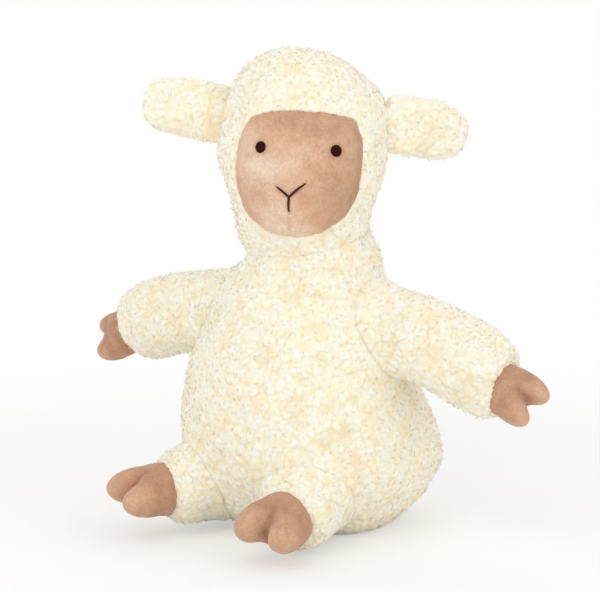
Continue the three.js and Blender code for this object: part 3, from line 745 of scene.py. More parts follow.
@dataclass
class Pile:
    """The pile of loose wisps that stand out of a fleece skin's tufts."""

    spacing: float = 3.4 * MM
    crowding: float = 6.0
    sink: float = 0.5 * MM
    lean: tuple[float, float] = (0.9, 2.6)
    comb: Vector = field(default_factory=lambda: Vector((0, 0, -0.25)))
    sizes: tuple[float, float] = (0.75, 1.2)
    lock: Lock = field(default_factory=Lock)
    floor: float = 0.4 * MM

    def seats(self, mesh: bpy.types.Mesh, dice: np.random.Generator) -> tuple[np.ndarray, np.ndarray]:
        """Scatters the roots of the locks evenly over a skin.

        Args:
            mesh: The skin.
            dice: The seeded random numbers.

        Returns:
            The roots and the skin's normals there.
        """
        mesh.calc_loop_triangles()
        corners = np.empty(len(mesh.loop_triangles) * 3, dtype=np.int64)
        mesh.loop_triangles.foreach_get("vertices", corners)
        corners = corners.reshape(-1, 3)
        points, normals = points_of(mesh), normals_of(mesh)
        a, b, c = (points[corners[:, k]] for k in range(3))
        areas = np.linalg.norm(np.cross(b - a, c - a), axis=1) / 2
        count = int(self.crowding * areas.sum() / self.spacing ** 2)
        chosen = dice.choice(len(areas), count, p=areas / areas.sum())
        u, v = np.sqrt(dice.random(count)), dice.random(count)
        weights = np.stack([1 - u, u * (1 - v), u * v], axis=1)
        roots = np.einsum("nk,nkd->nd", weights, points[corners[chosen]])
        facing = np.einsum("nk,nkd->nd", weights, normals[corners[chosen]])
        facing /= np.linalg.norm(facing, axis=1, keepdims=True)
        kept = self.thin_out(roots)
        return roots[kept], facing[kept]

    def thin_out(self, roots: np.ndarray) -> list[int]:
        """Keeps only roots that are a spacing apart.

        Args:
            roots: The candidates.

        Returns:
            The numbers of those kept.
        """
        cells: dict[tuple[int, int, int], list[int]] = {}
        kept = []
        keys = np.floor(roots / self.spacing).astype(int)
        around = [(i, j, k) for i in (-1, 0, 1) for j in (-1, 0, 1) for k in (-1, 0, 1)]
        for number, (x, y, z) in enumerate(keys.tolist()):
            near = [n for i, j, k in around for n in cells.get((x + i, y + j, z + k), ())]
            if near and np.min(np.sum((roots[near] - roots[number]) ** 2, axis=1)) < self.spacing ** 2:
                continue
            cells.setdefault((x, y, z), []).append(number)
            kept.append(number)
        return kept

    def grow(self, name: str, skin: bpy.types.Object, seed: int, keep: Keep | None = None) -> bpy.types.Object:
        """Grows the pile over a skin as one mesh of locks.

        Args:
            name: The new object's name.
            skin: The object that it grows on.
            seed: What starts the random numbers.
            keep: Says which roots to keep, from their places.

        Returns:
            The pile's object, at the origin.
        """
        dice = np.random.default_rng(seed)
        roots, facing = self.seats(skin.data, dice)
        if keep is not None:
            chosen = keep(roots)
            roots, facing = roots[chosen], facing[chosen]
        frames = self.stand(facing, dice)
        size = dice.uniform(*self.sizes, len(roots))
        forms = [self.lock.make(self.lock.turns * share, handed) for share in (0.8, 1.15) for handed in (1, -1)]
        kinds = dice.integers(len(forms), size=len(roots))
        tones = dice.random(len(roots))
        parts, faces, heights, shades, offset = [], [], [], [], 0
        for kind, (points, corners, share) in enumerate(forms):
            mine = np.flatnonzero(kinds == kind)
            placed = np.einsum("nij,vj->nvi", frames[mine], points) * size[mine, None, None]
            placed += (roots[mine] - facing[mine] * self.sink)[:, None, :]
            parts.append(placed.reshape(-1, 3))
            shifts = offset + np.arange(len(mine)) * len(points)
            faces.append((corners[None] + shifts[:, None, None]).reshape(-1, corners.shape[1]))
            heights.append(np.tile(share, len(mine)))
            shades.append(np.repeat(tones[mine], len(points)))
            offset += len(mine) * len(points)
        points = np.concatenate(parts)
        points[:, 2] = np.maximum(points[:, 2], self.floor)
        return self.as_piece(name, points, np.concatenate(faces), np.concatenate(heights), np.concatenate(shades))

    def stand(self, facing: np.ndarray, dice: np.random.Generator) -> np.ndarray:
        """Turns each lock to stand on the skin, leaning a random way and combed down a little.

        Args:
            facing: The skin's normals at the roots.
            dice: The seeded random numbers.

        Returns:
            One turned frame for each lock, its columns the lock's axes.
        """
        count = len(facing)
        wild = dice.normal(size=(count, 3))
        wild -= facing * np.sum(wild * facing, axis=1, keepdims=True)
        wild /= np.linalg.norm(wild, axis=1, keepdims=True)
        up = facing + wild * dice.uniform(*self.lean, (count, 1)) + np.array(self.comb)
        up /= np.linalg.norm(up, axis=1, keepdims=True)
        first = np.cross(up, dice.normal(size=(count, 3)))
        first /= np.linalg.norm(first, axis=1, keepdims=True)
        return np.stack([first, np.cross(up, first), up], axis=2)

    def as_piece(
        self, name: str, points: np.ndarray, faces: np.ndarray, heights: np.ndarray, shades: np.ndarray,
    ) -> bpy.types.Object:
        """Makes the pile's object with the attributes that its finish reads.

        Args:
            name: The object's name.
            points: All points.
            faces: All faces, each as a row of corners.
            heights: Each point's share of its lock's height.
            shades: Each point's tone, alike over a lock.

        Returns:
            The object.
        """
        mesh = bpy.data.meshes.new(name)
        mesh.vertices.add(len(points))
        mesh.loops.add(faces.size)
        mesh.polygons.add(len(faces))
        mesh.vertices.foreach_set("co", points.reshape(-1))
        mesh.loops.foreach_set("vertex_index", faces.reshape(-1))
        mesh.polygons.foreach_set("loop_start", np.arange(len(faces)) * faces.shape[1])
        mesh.update(calc_edges=True)
        # The roots of the wisps get the painted shade of the creases
        mark(mesh, "pile", 0.5 + 0.5 * heights)
        mark(mesh, "tone", shades)
        mesh.shade_smooth()
        made = bpy.data.objects.new(name, mesh)
        bpy.context.scene.collection.objects.link(made)
        LOG.info("%s: %d faces", name, len(faces))
        return made


def fill_seam(piece: bpy.types.Object, gaps: np.ndarray, reach: float = 14 * MM, lift: float = 4.5 * MM) -> None:
    """Lifts a skin towards its neighbour along the seam between them, so that the fleece runs on over it.

    Args:
        piece: The skin.
        gaps: How far each of its points is from the neighbour, less than zero inside it.
        reach: How far from the seam the lift fades.
        lift: How far the skin is lifted at the seam.
    """
    near = np.clip(1 - np.maximum(gaps, 0) / reach, 0, 1) ** 2
    set_points(piece.data, points_of(piece.data) + normals_of(piece.data) * (near * lift)[:, None])


def tree_of(piece: bpy.types.Object) -> BVHTree:
    """Makes a search tree of a piece's faces."""
    mesh = piece.data
    return BVHTree.FromPolygons([vert.co for vert in mesh.vertices], [face.vertices for face in mesh.polygons])


def nearest(tree: BVHTree, point: Vector) -> tuple[float, Vector, Vector]:
    """Finds the place on a closed piece that is nearest to a point.

    Args:
        tree: The piece's search tree.
        point: The point.

    Returns:
        How far off the piece the point is, less than zero inside it, then the place and its normal.
    """
    spot, facing, _, distance = tree.find_nearest(point)
    return (distance if (point - spot).dot(facing) > 0 else -distance), spot, facing


def gap_between(points: np.ndarray, other: bpy.types.Object) -> np.ndarray:
    """Gives how far places are from a piece, less than zero inside it.

    Args:
        points: The places, as rows.
        other: The closed piece that they are measured from.

    Returns:
        One distance for each point.
    """
    tree = tree_of(other)
    return np.array([nearest(tree, Vector(point))[0] for point in points])


def mark(mesh: bpy.types.Mesh, name: str, values: np.ndarray | float) -> None:
    """Writes one number a point as an attribute.

    Args:
        mesh: The mesh.
        name: The attribute's name.
        values: One number, or one for each point.
    """
    attribute = mesh.attributes.new(name, "FLOAT", "POINT")
    attribute.data.foreach_set("value", np.broadcast_to(values, len(mesh.vertices)).astype(np.float32))


def dress(piece: bpy.types.Object, material: bpy.types.Material) -> None:
    """Gives a piece its finish.

    Args:
        piece: The object.
        material: The finish.
    """
    piece.data.materials.clear()
    piece.data.materials.append(material)


def dress_fleece(wardrobe: Wardrobe, fill: float, skin: bpy.types.Object, *piles: bpy.types.Object) -> None:
    """Gives a stuffed fleece skin and its piles their finishes.

    Args:
        wardrobe: The finishes.
        fill: How tightly the skin is filled; not used.
        skin: The skin.
        piles: The piles that stand on it.
    """
    dress(skin, wardrobe.fleece)
    for pile in piles:
        dress(pile, wardrobe.curls)


@dataclass
class Joint:
    """A seam between two bodies, from a start to an end on either side of the pivot."""

    parent: str
    child: str
    start: Vector
    end: Vector

    def carry(self, *pieces: bpy.types.Object) -> None:
        """Bakes each piece's place into its mesh; nothing bends."""
        for piece in pieces:
            tuple(self.start)
            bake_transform(piece)


@dataclass
class Torso:
    """The pear-shaped torso with its neck and its flat seat."""

    half_width: float = 91 * MM
    half_depth: float = 88 * MM
    height: float = 178 * MM
    panel_radius: float = 46 * MM
    panel_nap: float = 1.2 * MM
    panel_voxel: float = 0.9 * MM
    panel_lift: float = 0.1 * MM
    seat_edge: float = 1 * MM
    pile_top: float = 210 * MM
    seed: int = 11
    rings: int = 40
    segments: int = 72
    bend_below: float = 28 * MM
    collar_turn_deg: float = 30
    quarters: dict[str, float] = field(default_factory=lambda: {"front": -90, "left": 0, "back": 90, "right": 180})
    collar_mm: Rows = field(default_factory=lambda: [
        (184, 49, 47, 53, 8.5), (189, 46.5, 48, 53, 9.5), (194, 45, 48, 52, 9.5), (199, 43.5, 48, 50, 8.5),
        (205, 42.5, 46, 47, 6.5), (210, 41, 43, 43, 4.5), (216, 36, 37, 37, 4), (222, 28, 29, 29, 3),
        (227, 17, 17, 17, 2),
    ])
    profile_shares: Rows = field(default_factory=lambda: [
        (0.58, 0.0, -0.03, 1.0), (0.71, 0.045, -0.03, 1.02), (0.87, 0.14, -0.03, 1.04), (1.01, 0.27, -0.03, 1.03),
        (0.98, 0.42, 0.06, 1.0), (0.92, 0.56, 0.14, 0.96), (0.83, 0.7, 0.18, 0.92), (0.73, 0.83, 0.14, 0.93),
        (0.65, 0.93, 0.08, 0.99), (0.585, 1.0, 0.045, 1.0),
    ])
    neck: Vector = field(default_factory=lambda: Vector(JOINTS["head_nod"]["pos_m"]))

    def sections(self) -> list[Matrix]:
        """Works out the torso's rings.

        Returns:
            The rings, from the seat to inside the head.
        """
        rings = [
            oval(
                Vector((0, -shift * self.half_depth, height * self.height)), X_AXIS, Y_AXIS,
                out * self.half_width, out * depth * self.half_depth,
            )
            for out, height, shift, depth in smooth_rows(self.profile_shares, self.rings)
        ]
        turn = Matrix.Rotation(math.radians(self.collar_turn_deg), 3, "Z")
        across, behind = turn @ X_AXIS, turn @ Y_AXIS
        for height, wide, front, back, shift in self.collar_mm:
            centre = Vector((self.neck.x, self.neck.y, height * MM)) + across * shift * MM
            middle = centre + behind * (back - front) / 2 * MM
            rings.append(oval(middle, across, behind, wide * MM, (front + back) / 2 * MM))
        return rings

    def build(self, wardrobe: Wardrobe, limbs: list[tuple["Limb", float]]) -> bpy.types.Object:
        """Builds the torso's skin, pile and seat panel.

        Args:
            wardrobe: The finishes.
            limbs: The limbs that are sewn to it, with how far the skin lifts towards each.

        Returns:
            The torso's skin.
        """
        skin = StuffedForm().make("torso_fleece", loft(self.sections(), self.segments))
        for limb, lift in limbs:
            fill_seam(skin, limb.gap_from(points_of(skin.data)), lift=lift)
        TuftRelief().raise_on(skin)
        piles = [
            Pile().grow(f"torso_{name}_pile", skin, self.seed, partial(self.in_quarter, math.radians(middle_deg)))
            for name, middle_deg in self.quarters.items()
        ]
        dress_fleece(wardrobe, 0.8, skin, *piles)
        Joint("torso", "head", self.neck - Z_AXIS * self.bend_below, self.neck).carry(skin, *piles)
        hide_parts("torso_cover")
        self.build_seat(wardrobe)
        return skin

    def in_quarter(self, middle: float, roots: np.ndarray) -> np.ndarray:
        """Says which roots lie in one quarter of the torso and outside the seat and the head.

        Args:
            middle: The direction of the quarter's middle, from +X.
            roots: The roots' places, as rows.

        Returns:
            True for each that is kept.
        """
        turned = np.arctan2(roots[:, 1], roots[:, 0]) - middle
        turned = np.abs((turned + math.pi) % (2 * math.pi) - math.pi)
        seated = (roots[:, 2] < self.seat_edge) & (np.hypot(roots[:, 0], roots[:, 1]) < self.panel_radius)
        return (turned <= math.pi / 4) & ~seated & ~(roots[:, 2] > self.pile_top)

    def build_seat(self, wardrobe: Wardrobe) -> None:
        """Builds the round bottom panel, flat where it rests.

        Args:
            wardrobe: The finishes.
        """
        shape = bmesh.new()
        low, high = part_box("seat_panel")
        bmesh.ops.create_cone(
            shape, cap_ends=True, segments=self.segments, radius1=self.panel_radius, radius2=self.panel_radius,
            depth=high[2] - low[2], matrix=Matrix.Translation((0, 0, (low[2] + high[2]) / 2)),
        )
        panel = as_object("seat_panel_fleece", shape)
        modify(panel, "REMESH", mode="VOXEL", voxel_size=self.panel_voxel, use_smooth_shade=True)
        modify(panel, "SMOOTH", factor=0.5, iterations=3)
        TuftRelief(depth=self.panel_nap).raise_on(panel)
        points = points_of(panel.data)
        points[:, 2] = np.clip(points[:, 2], low[2] + self.panel_lift, high[2])
        set_points(panel.data, points)
        dress(panel, wardrobe.fleece)
        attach(panel, "torso")
        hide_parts("seat_panel")


@dataclass
class Head:
    """The head with its velour face, eyes and stitches, in its own frame, which turns about the neck."""

    height: float = 143 * MM
    base: float = 191 * MM
    half_width: float = 57 * MM
    front_reach: float = 53 * MM
    back_reach: float = 57 * MM
    forward: float = 4 * MM
    turn_deg: float = 30
    tilt_deg: float = 2.5
    muzzle_reach: float = 11 * MM
    muzzle_half_width: float = 34 * MM
    muzzle_half_height: float = 30 * MM
    muzzle_height: float = 232 * MM
    rings: int = 60
    segments: int = 96
    recess: float = 5.5 * MM
    crown_from: float = 292 * MM
    crown_rise: float = 40 * MM
    crown_lean: float = 6 * MM
    crown_taper: float = 0.1
    crown_drop: float = 1.2 * MM
    cheek_height: float = 255 * MM
    cheek_half_height: float = 20 * MM
    cheek_fullness: float = 4 * MM
    pile_above_base: float = 4 * MM
    seed: int = 23
    profile_shares: Rows = field(default_factory=lambda: [
        (0.0, 0.6, 0.6, 0.6), (0.06, 0.74, 0.78, 0.74), (0.15, 0.79, 0.9, 0.82), (0.27, 0.86, 0.98, 0.89),
        (0.4, 0.95, 1.0, 0.95), (0.52, 1.0, 0.99, 1.0), (0.65, 0.99, 0.95, 1.0), (0.77, 0.94, 0.87, 0.95),
        (0.87, 0.8, 0.75, 0.83), (0.95, 0.56, 0.54, 0.6), (0.993, 0.24, 0.24, 0.28),
    ])
    neck: Vector = field(default_factory=lambda: Vector(JOINTS["head_nod"]["pos_m"]))

    def __post_init__(self) -> None:
        """Works out the rows of the form and the turn of the head."""
        self.rows = np.array(smooth_rows(self.profile_shares, self.rings))
        turn = Matrix.Rotation(math.radians(self.turn_deg), 4, "Z")
        tilt = Matrix.Rotation(math.radians(self.tilt_deg), 4, "Y")
        self.placed = Matrix.Translation(self.neck) @ turn @ tilt @ Matrix.Translation(-self.neck)
        self.middle_y = self.neck.y - self.forward

    def front(self, x: float, z: float) -> float:
        """Gives the y of the head's front surface in its own frame.

        Args:
            x: The place across.
            z: The height.

        Returns:
            The surface's y, to the front of the head's middle.
        """
        share = (z - self.base) / self.height
        width, reach = (np.interp(share, self.rows[:, 0], self.rows[:, k]) for k in (1, 2))
        across = min(abs(x) / (width * self.half_width), 1.0)
        return self.middle_y - (reach * self.front_reach + self.muzzle(x, z)) * math.sqrt(1 - across ** 2)

    def muzzle(self, x: float, z: float) -> float:
        """Gives how far the muzzle stands out at a place on the front."""
        off = (x / self.muzzle_half_width) ** 2 + ((z - self.muzzle_height) / self.muzzle_half_height) ** 2
        return self.muzzle_reach * math.exp(-off)

    def form(self) -> bmesh.types.BMesh:
        """Lofts the whole head in its own frame and places it.

        Returns:
            The closed shape.
        """
        heights = [self.base + row[0] * self.height for row in self.rows]
        shape = loft([oval(Vector((0, 0, height)), X_AXIS, Y_AXIS, 1, 1) for height in heights], self.segments)
        levels = {round(height, 6): row for height, row in zip(heights, self.rows)}
        for vert in shape.verts:
            _, width, front, back = levels[round(vert.co.z, 6)]
            x = vert.co.x * width * self.half_width
            if vert.co.y < 0:
                reach = front * self.front_reach + self.muzzle(x, vert.co.z)
            else:
                reach = back * self.back_reach
            ease = soft_step(clamp((vert.co.z - self.crown_from) / self.crown_rise))
            x = x * (1 - self.crown_taper * ease) - self.crown_lean * ease
            full = math.exp(-((vert.co.z - self.cheek_height) / self.cheek_half_height) ** 2)
            x -= self.cheek_fullness * full * (min(x, 0) / self.half_width) ** 2
            vert.co = Vector((x, self.middle_y + vert.co.y * reach, vert.co.z - self.crown_drop * ease))
        bmesh.ops.transform(shape, matrix=self.placed, verts=shape.verts[:])
        return shape

    def own(self, points: np.ndarray) -> np.ndarray:
        """Turns places in the model's frame to the head's own frame."""
        return in_frame(points, self.placed)

    def build(self, wardrobe: Wardrobe, face: "Face", torso: bpy.types.Object) -> None:
        """Builds the head's fleece round the face.

        Args:
            wardrobe: The finishes.
            face: The face panel, which keeps the fleece off it.
            torso: The torso's skin, which the head is sewn to.
        """
        skin = StuffedForm(swell_cap=1.5 * MM).make("head_fleece", self.form())
        points = points_of(skin.data)
        sunk = face.cover(self.own(points))
        set_points(skin.data, points - normals_of(skin.data) * (sunk * self.recess)[:, None])
        fill_seam(skin, gap_between(points_of(skin.data), torso), reach=9 * MM, lift=2 * MM)
        TuftRelief().raise_on(skin)
        piles = [
            Pile().grow(f"head_{side.value}_pile", skin, self.seed, partial(self.in_half, side, face))
            for side in Side
        ]
        dress_fleece(wardrobe, 0.8, skin, *piles)
        for piece in (skin, *piles):
            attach(piece, "head")
        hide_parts("head_cover")

    def in_half(self, side: Side, face: "Face", roots: np.ndarray) -> np.ndarray:
        """Says which roots lie on one half of the head and off the face.

        Args:
            side: The half.
            face: The face panel.
            roots: The roots' places, as rows.

        Returns:
            True for each that is kept.
        """
        own = self.own(roots)
        above = own[:, 2] > self.base + self.pile_above_base
        return (own[:, 0] * side.sign >= 0) & (face.cover(own) < 0.5) & above


@dataclass
class Face:
    """The velour face panel, softly sculpted, with its eyes and the stitched nose and mouth."""

    head: Head
    half_width: float = 45 * MM
    top: float = 293 * MM
    chin: float = 205 * MM
    puff: float = 2.4 * MM
    edge: float = 9 * MM
    stitch_pull: float = 0.7 * MM
    thickness: float = 1.6 * MM
    rings: int = 60
    segments: int = 192
    eye_spacing: float = 50.04 * MM
    eye_height: float = 267.04 * MM
    eye_radius: float = 4.2 * MM
    eye_dome: float = 3.2 * MM
    eye_sink: float = 0.5 * MM
    socket: float = 8 * MM
    edge_dip: float = 1.6 * MM
    margin: float = 1.5 * MM
    margin_dip: float = 1.2 * MM
    step_width: float = 2 * MM
    hem_depth: float = 4.8 * MM
    hem_share: float = 0.97
    dome_cut_share: float = 0.2
    shank_radius: float = 1.6 * MM
    shank_length: float = 10 * MM
    shank_middle: float = -5.2 * MM
    thread_radius: float = 0.75 * MM
    thread_lift_share: float = 0.35
    thread_dive_share: float = 0.8
    thread_shares: tuple[float, float] = (1.1, 0.5)
    thread_sides: int = 12
    stitch_steps: int = 18
    pull_width_mm: float = 1.8
    nap_rest: float = 0.6
    # Painted shade taken off the mark at the fleece's rim, in the eye sockets and beside the stitches
    rim_painted_shade: float = 0.1
    socket_painted_shade: float = 0.35
    socket_shade_share: float = 1.25
    stitch_painted_shade: float = 0.3
    stitch_shade_mm: float = 1.4
    knot_mm: tuple[float, float] = (-3.3, 236.5)
    stitch_ends_mm: dict[str, tuple[float, float]] = field(default_factory=lambda: {
        "left": (7.4, 246.0), "right": (-12.2, 242.8), "stem": (-2.9, 226.2),
    })
    bows_mm: dict[str, float] = field(default_factory=lambda: {"left": 0.5, "right": -0.4, "stem": -0.4})
    paired_mounds: Rows = field(default_factory=lambda: [(14, 281, 14, 6, 2.2), (20, 236, 13, 13, 2.4)])
    single_mounds: Rows = field(default_factory=lambda: [
        (0, 262, 9, 15, 1.8), (-2, 247, 10, 8, 1.6), (-3, 214, 1.8, 10, -1.3),
    ])
    overlap_mm: Rows = field(default_factory=lambda: [
        (-180, 0.8), (-135, 1.3), (-90, 3.7), (-45, 3.5), (0, 3.0), (45, 2.6), (90, 1.3), (116, 2.4), (136, 5.6),
        (156, 3.0),
    ])
    # Patches partly of the pile lying lighter or darker and partly of painted light and shade: lighter towards -x, on
    # the muzzle and the chin, darker on the brow and towards +x, with painted shade in the sockets and the seam below
    # the mouth
    brushed_and_painted_light: Rows = field(default_factory=lambda: [
        (-22, 254, 15, 13, 0.34), (-37, 270, 12, 20, 0.25), (-3, 284, 22, 8, -0.28), (0, 262, 10, 12, 0.12),
        (43, 268, 13, 30, -0.25), (27, 236, 17, 19, -0.28), (-10, 224, 17, 10, 0.32), (-6, 210, 24, 7, 0.5),
        (20, 279, 9, 5, -0.22), (-32, 261, 5, 3, -0.2), (-3, 214, 1.4, 9, -0.22), (12, 205, 20, 4, 0.15),
    ])
    outline_shares: Rows = field(default_factory=lambda: [
        (0.0, 0.0), (0.42, 0.045), (0.76, 0.17), (0.95, 0.36), (1.0, 0.58), (0.97, 0.8), (0.82, 0.955), (0.42, 1.0),
    ])

    def __post_init__(self) -> None:
        """Works out the outline as a distance from the panel's middle at each angle."""
        self.middle = (self.top + self.chin) / 2
        tall = self.top - self.chin
        right = [(out * self.half_width, (self.chin + up * tall)) for out, up in self.outline_shares]
        corners = right + [(-x, z) for x, z in reversed(right[1:])]
        closed = corners[-2:] + corners + corners[:3]
        dense = smooth_rows(closed, 12 * (len(closed) - 1))
        points = np.array(dense) - (0, self.middle)
        angles = np.arctan2(points[:, 1], points[:, 0])
        order = np.argsort(angles)
        self.angles, self.reaches = angles[order], np.hypot(points[:, 0], points[:, 1])[order]

    def reach(self, angle: np.ndarray | float) -> np.ndarray | float:
        """Gives the outline's distance from the panel's middle at an angle."""
        return np.interp(angle, self.angles, self.reaches, period=2 * math.pi)

    def rim(self, angle: np.ndarray | float) -> np.ndarray | float:
        """Gives the distance from the panel's middle at which the fleece begins, at an angle."""
        angles_deg, overlaps = zip(*self.overlap_mm)
        return self.reach(angle) - np.interp(np.degrees(angle), angles_deg, overlaps, period=360) * MM

    def inner(self, x: float, z: float) -> float:
        """Gives how far a place is inside the fleece's rim."""
        return self.rim(math.atan2(z - self.middle, x)) - math.hypot(x, z - self.middle)

    def from_eye(self, x: float, z: float) -> float:
        """Gives how far a place is from the nearer eye's middle."""
        return math.hypot(abs(x) - self.eye_spacing / 2, z - self.eye_height)

    def cover(self, own: np.ndarray) -> np.ndarray:
        """Says how far places in the head's frame are inside the panel's fleece rim.

        Args:
            own: The places, as rows.

        Returns:
            One for places well under the panel, zero off it, with a soft step between.
        """
        across, up = own[:, 0], own[:, 2] - self.middle
        past = self.rim(np.arctan2(up, across)) - np.hypot(across, up)
        step = soft_step(np.clip(past / self.step_width + 0.5, 0, 1))
        return np.where(own[:, 1] < self.head.middle_y, step, 0)

    def surface(self, x: float, z: float) -> Vector:
        """Gives a place on the sculpted panel, in the head's own frame.

        Args:
            x: The place across.
            z: The height.

        Returns:
            The point.
        """
        inner = self.inner(x, z)
        rise = clamp(inner / self.edge)
        out = self.puff * rise * (2 - rise) - self.edge_dip * (1 - rise) ** 4
        out -= self.margin_dip * clamp(-inner / self.margin)
        out *= 1 - math.exp(-(self.from_eye(x, z) / self.socket) ** 2)
        out += sum(self.mound(abs(x), z, *mound) for mound in self.paired_mounds)
        out += sum(self.mound(x, z, *mound) for mound in self.single_mounds)
        out -= self.stitch_pull * self.beside_stitches(x, z, self.pull_width_mm)
        return Vector((x, self.head.front(x, z) - out, z))

    def beside_stitches(self, x: float, z: float, wide_mm: float) -> float:
        """Says how near a place is to the stitches, from 0 far away to 1 on them.

        Args:
            x: The place across, in metres.
            z: The height, in metres.
            wide_mm: How far from a stitch it fades.

        Returns:
            The nearness.
        """
        place, knot = Vector((x / MM, z / MM)), Vector(self.knot_mm)
        ends = (Vector(end) for end in self.stitch_ends_mm.values())
        closest = min((place - self.on_stitch(place, knot, end)).length for end in ends)
        return math.exp(-(closest / wide_mm) ** 2)

    def on_stitch(self, place: Vector, knot: Vector, end: Vector) -> Vector:
        """Gives the point of one straight stitch that is nearest to a place."""
        along = end - knot
        return knot + along * clamp((place - knot).dot(along) / along.dot(along))

    def nap(self, own: Vector) -> float:
        """Gives the share of the face's mark at a place in the head's own frame, from 0 for painted shade in a crease
        to 1 for painted light.

        Args:
            own: The place.

        Returns:
            The share.
        """
        x, z = own.x, own.z
        share = self.nap_rest + sum(self.mound(x, z, *patch) for patch in self.brushed_and_painted_light) / MM
        inner = self.inner(x, z)
        # Painted shade at the fleece's rim, in the eye sockets and beside the stitches
        share -= self.rim_painted_shade * math.exp(-(max(inner - self.step_width, 0) / self.step_width) ** 2)
        share -= self.socket_painted_shade * math.exp(-(self.from_eye(x, z) / (self.socket_shade_share * self.eye_radius)) ** 4)
        share -= self.stitch_painted_shade * self.beside_stitches(x, z, self.stitch_shade_mm)
        return clamp(share)

    def mound(self, x: float, z: float, at_x: float, at_z: float, wide: float, tall: float, rise: float) -> float:
        """Gives the height of one soft mound of the sculpted face.

        Args:
            x: The place across, in metres.
            z: The height, in metres.
            at_x: The mound's middle across, in millimetres.
            at_z: The mound's height, in millimetres.
            wide: Its half width, in millimetres.
            tall: Its half height, in millimetres.
            rise: How far it stands out, in millimetres.

        Returns:
            How far it stands out at the place, in metres.
        """
        off = ((x / MM - at_x) / wide) ** 2 + ((z / MM - at_z) / tall) ** 2
        return rise * MM * math.exp(-off)

    def build(self, wardrobe: Wardrobe) -> None:
        """Builds the panel, the eyes and the stitches.

        Args:
            wardrobe: The finishes.
        """
        shape = bmesh.new()
        loops = []
        for number in range(1, self.rings + 1):
            made = bmesh.ops.create_circle(shape, cap_ends=False, radius=1.0, segments=self.segments)["verts"]
            for vert in made:
                angle = math.atan2(vert.co.y, vert.co.x)
                reach = self.reach(angle) * number / self.rings
                vert.co = self.surface(reach * math.cos(angle), self.middle + reach * math.sin(angle))
            loops.append(ring_edges(made))
        bridge(shape, loops)
        bmesh.ops.holes_fill(shape, edges=loops[0], sides=self.segments)
        hem = bmesh.ops.extrude_edge_only(shape, edges=loops[-1])["geom"]
        for vert in (item for item in hem if isinstance(item, bmesh.types.BMVert)):
            vert.co.y += self.hem_depth
            vert.co.x *= self.hem_share
        bmesh.ops.recalc_face_normals(shape, faces=shape.faces[:])
        shape.faces.ensure_lookup_table()
        outward = sum((face.normal for face in shape.faces), Vector())
        if outward.y > 0:
            bmesh.ops.reverse_faces(shape, faces=shape.faces[:])
        bmesh.ops.transform(shape, matrix=self.head.placed, verts=shape.verts[:])
        panel = as_object("face_velour", shape)
        modify(panel, "SOLIDIFY", thickness=self.thickness, offset=-1.0)
        own = self.head.own(points_of(panel.data))
        # The mark carries the pile's patches with painted light and painted shade
        mark(panel.data, "nap", np.array([self.nap(Vector(point)) for point in own]))
        dress(panel, wardrobe.velour)
        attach(panel, "head")
        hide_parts("face_panel")
        for side in Side:
            self.build_eye(side, wardrobe)
        self.build_stitches(wardrobe)

    def facing(self, x: float, z: float) -> Vector:
        """Gives the outward direction of the panel at a place, in the head's own frame.

        Args:
            x: The place across.
            z: The height.

        Returns:
            The direction.
        """
        step = 1 * MM
        across = self.surface(x + step, z) - self.surface(x - step, z)
        up = self.surface(x, z + step) - self.surface(x, z - step)
        return across.cross(up).normalized()

    def build_eye(self, side: Side, wardrobe: Wardrobe) -> None:
        """Builds one domed eye with its shank, seated in the panel.

        Args:
            side: Which eye.
            wardrobe: The finishes.
        """
        x = side.sign * self.eye_spacing / 2
        spot, outward = self.surface(x, self.eye_height), self.facing(x, self.eye_height)
        shape = bmesh.new()
        bmesh.ops.create_uvsphere(shape, u_segments=32, v_segments=20, radius=self.eye_radius)
        below = [vert for vert in shape.verts if vert.co.z < -self.dome_cut_share * self.eye_radius]
        bmesh.ops.delete(shape, geom=below, context="VERTS")
        bmesh.ops.holes_fill(shape, edges=shape.edges[:], sides=64)
        bmesh.ops.scale(shape, vec=(1, 1, self.eye_dome / self.eye_radius), verts=shape.verts[:])
        bmesh.ops.create_cone(
            shape, cap_ends=True, segments=16, radius1=self.shank_radius, radius2=self.shank_radius,
            depth=self.shank_length, matrix=Matrix.Translation((0, 0, self.shank_middle)),
        )
        turned = outward.to_track_quat("Z", "Y").to_matrix().to_4x4()
        place = self.head.placed @ Matrix.Translation(spot - outward * self.eye_sink) @ turned
        bmesh.ops.transform(shape, matrix=place, verts=shape.verts[:])
        eye = as_object(f"{side.value}_eye_dome", shape)
        dress(eye, wardrobe.eye)
        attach(eye, "head")
        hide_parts(f"{side.value}_eye")

    def build_stitches(self, wardrobe: Wardrobe) -> None:
        """Lays the Y of floss that draws the nose and mouth.

        Args:
            wardrobe: The finishes.
        """
        knot = Vector(self.knot_mm)
        widest, taper = self.thread_shares
        for name, end in self.stitch_ends_mm.items():
            run = Vector(end) - knot
            bow = Vector((-run.y, run.x)).normalized() * self.bows_mm[name]
            rings = []
            for number in range(self.stitch_steps + 1):
                share = number / self.stitch_steps
                x, z = (knot + run * share + bow * math.sin(math.pi * share)) * MM
                facing = self.facing(x, z)
                sunk = self.thread_dive_share * self.thread_radius * (2 * share - 1) ** 6
                centre = self.surface(x, z) + facing * (self.thread_lift_share * self.thread_radius - sunk)
                along = Vector((run.x, 0, run.y)).normalized()
                side = along.cross(facing).normalized()
                wide = self.thread_radius * (widest - taper * share ** 2)
                rings.append(oval(centre, side, along.cross(side), wide, wide))
            shape = loft(rings, self.thread_sides)
            bmesh.ops.transform(shape, matrix=self.head.placed, verts=shape.verts[:])
            stitch = as_object(f"mouth_stitch_{name}", shape)
            dress(stitch, wardrobe.thread)
            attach(stitch, "head")


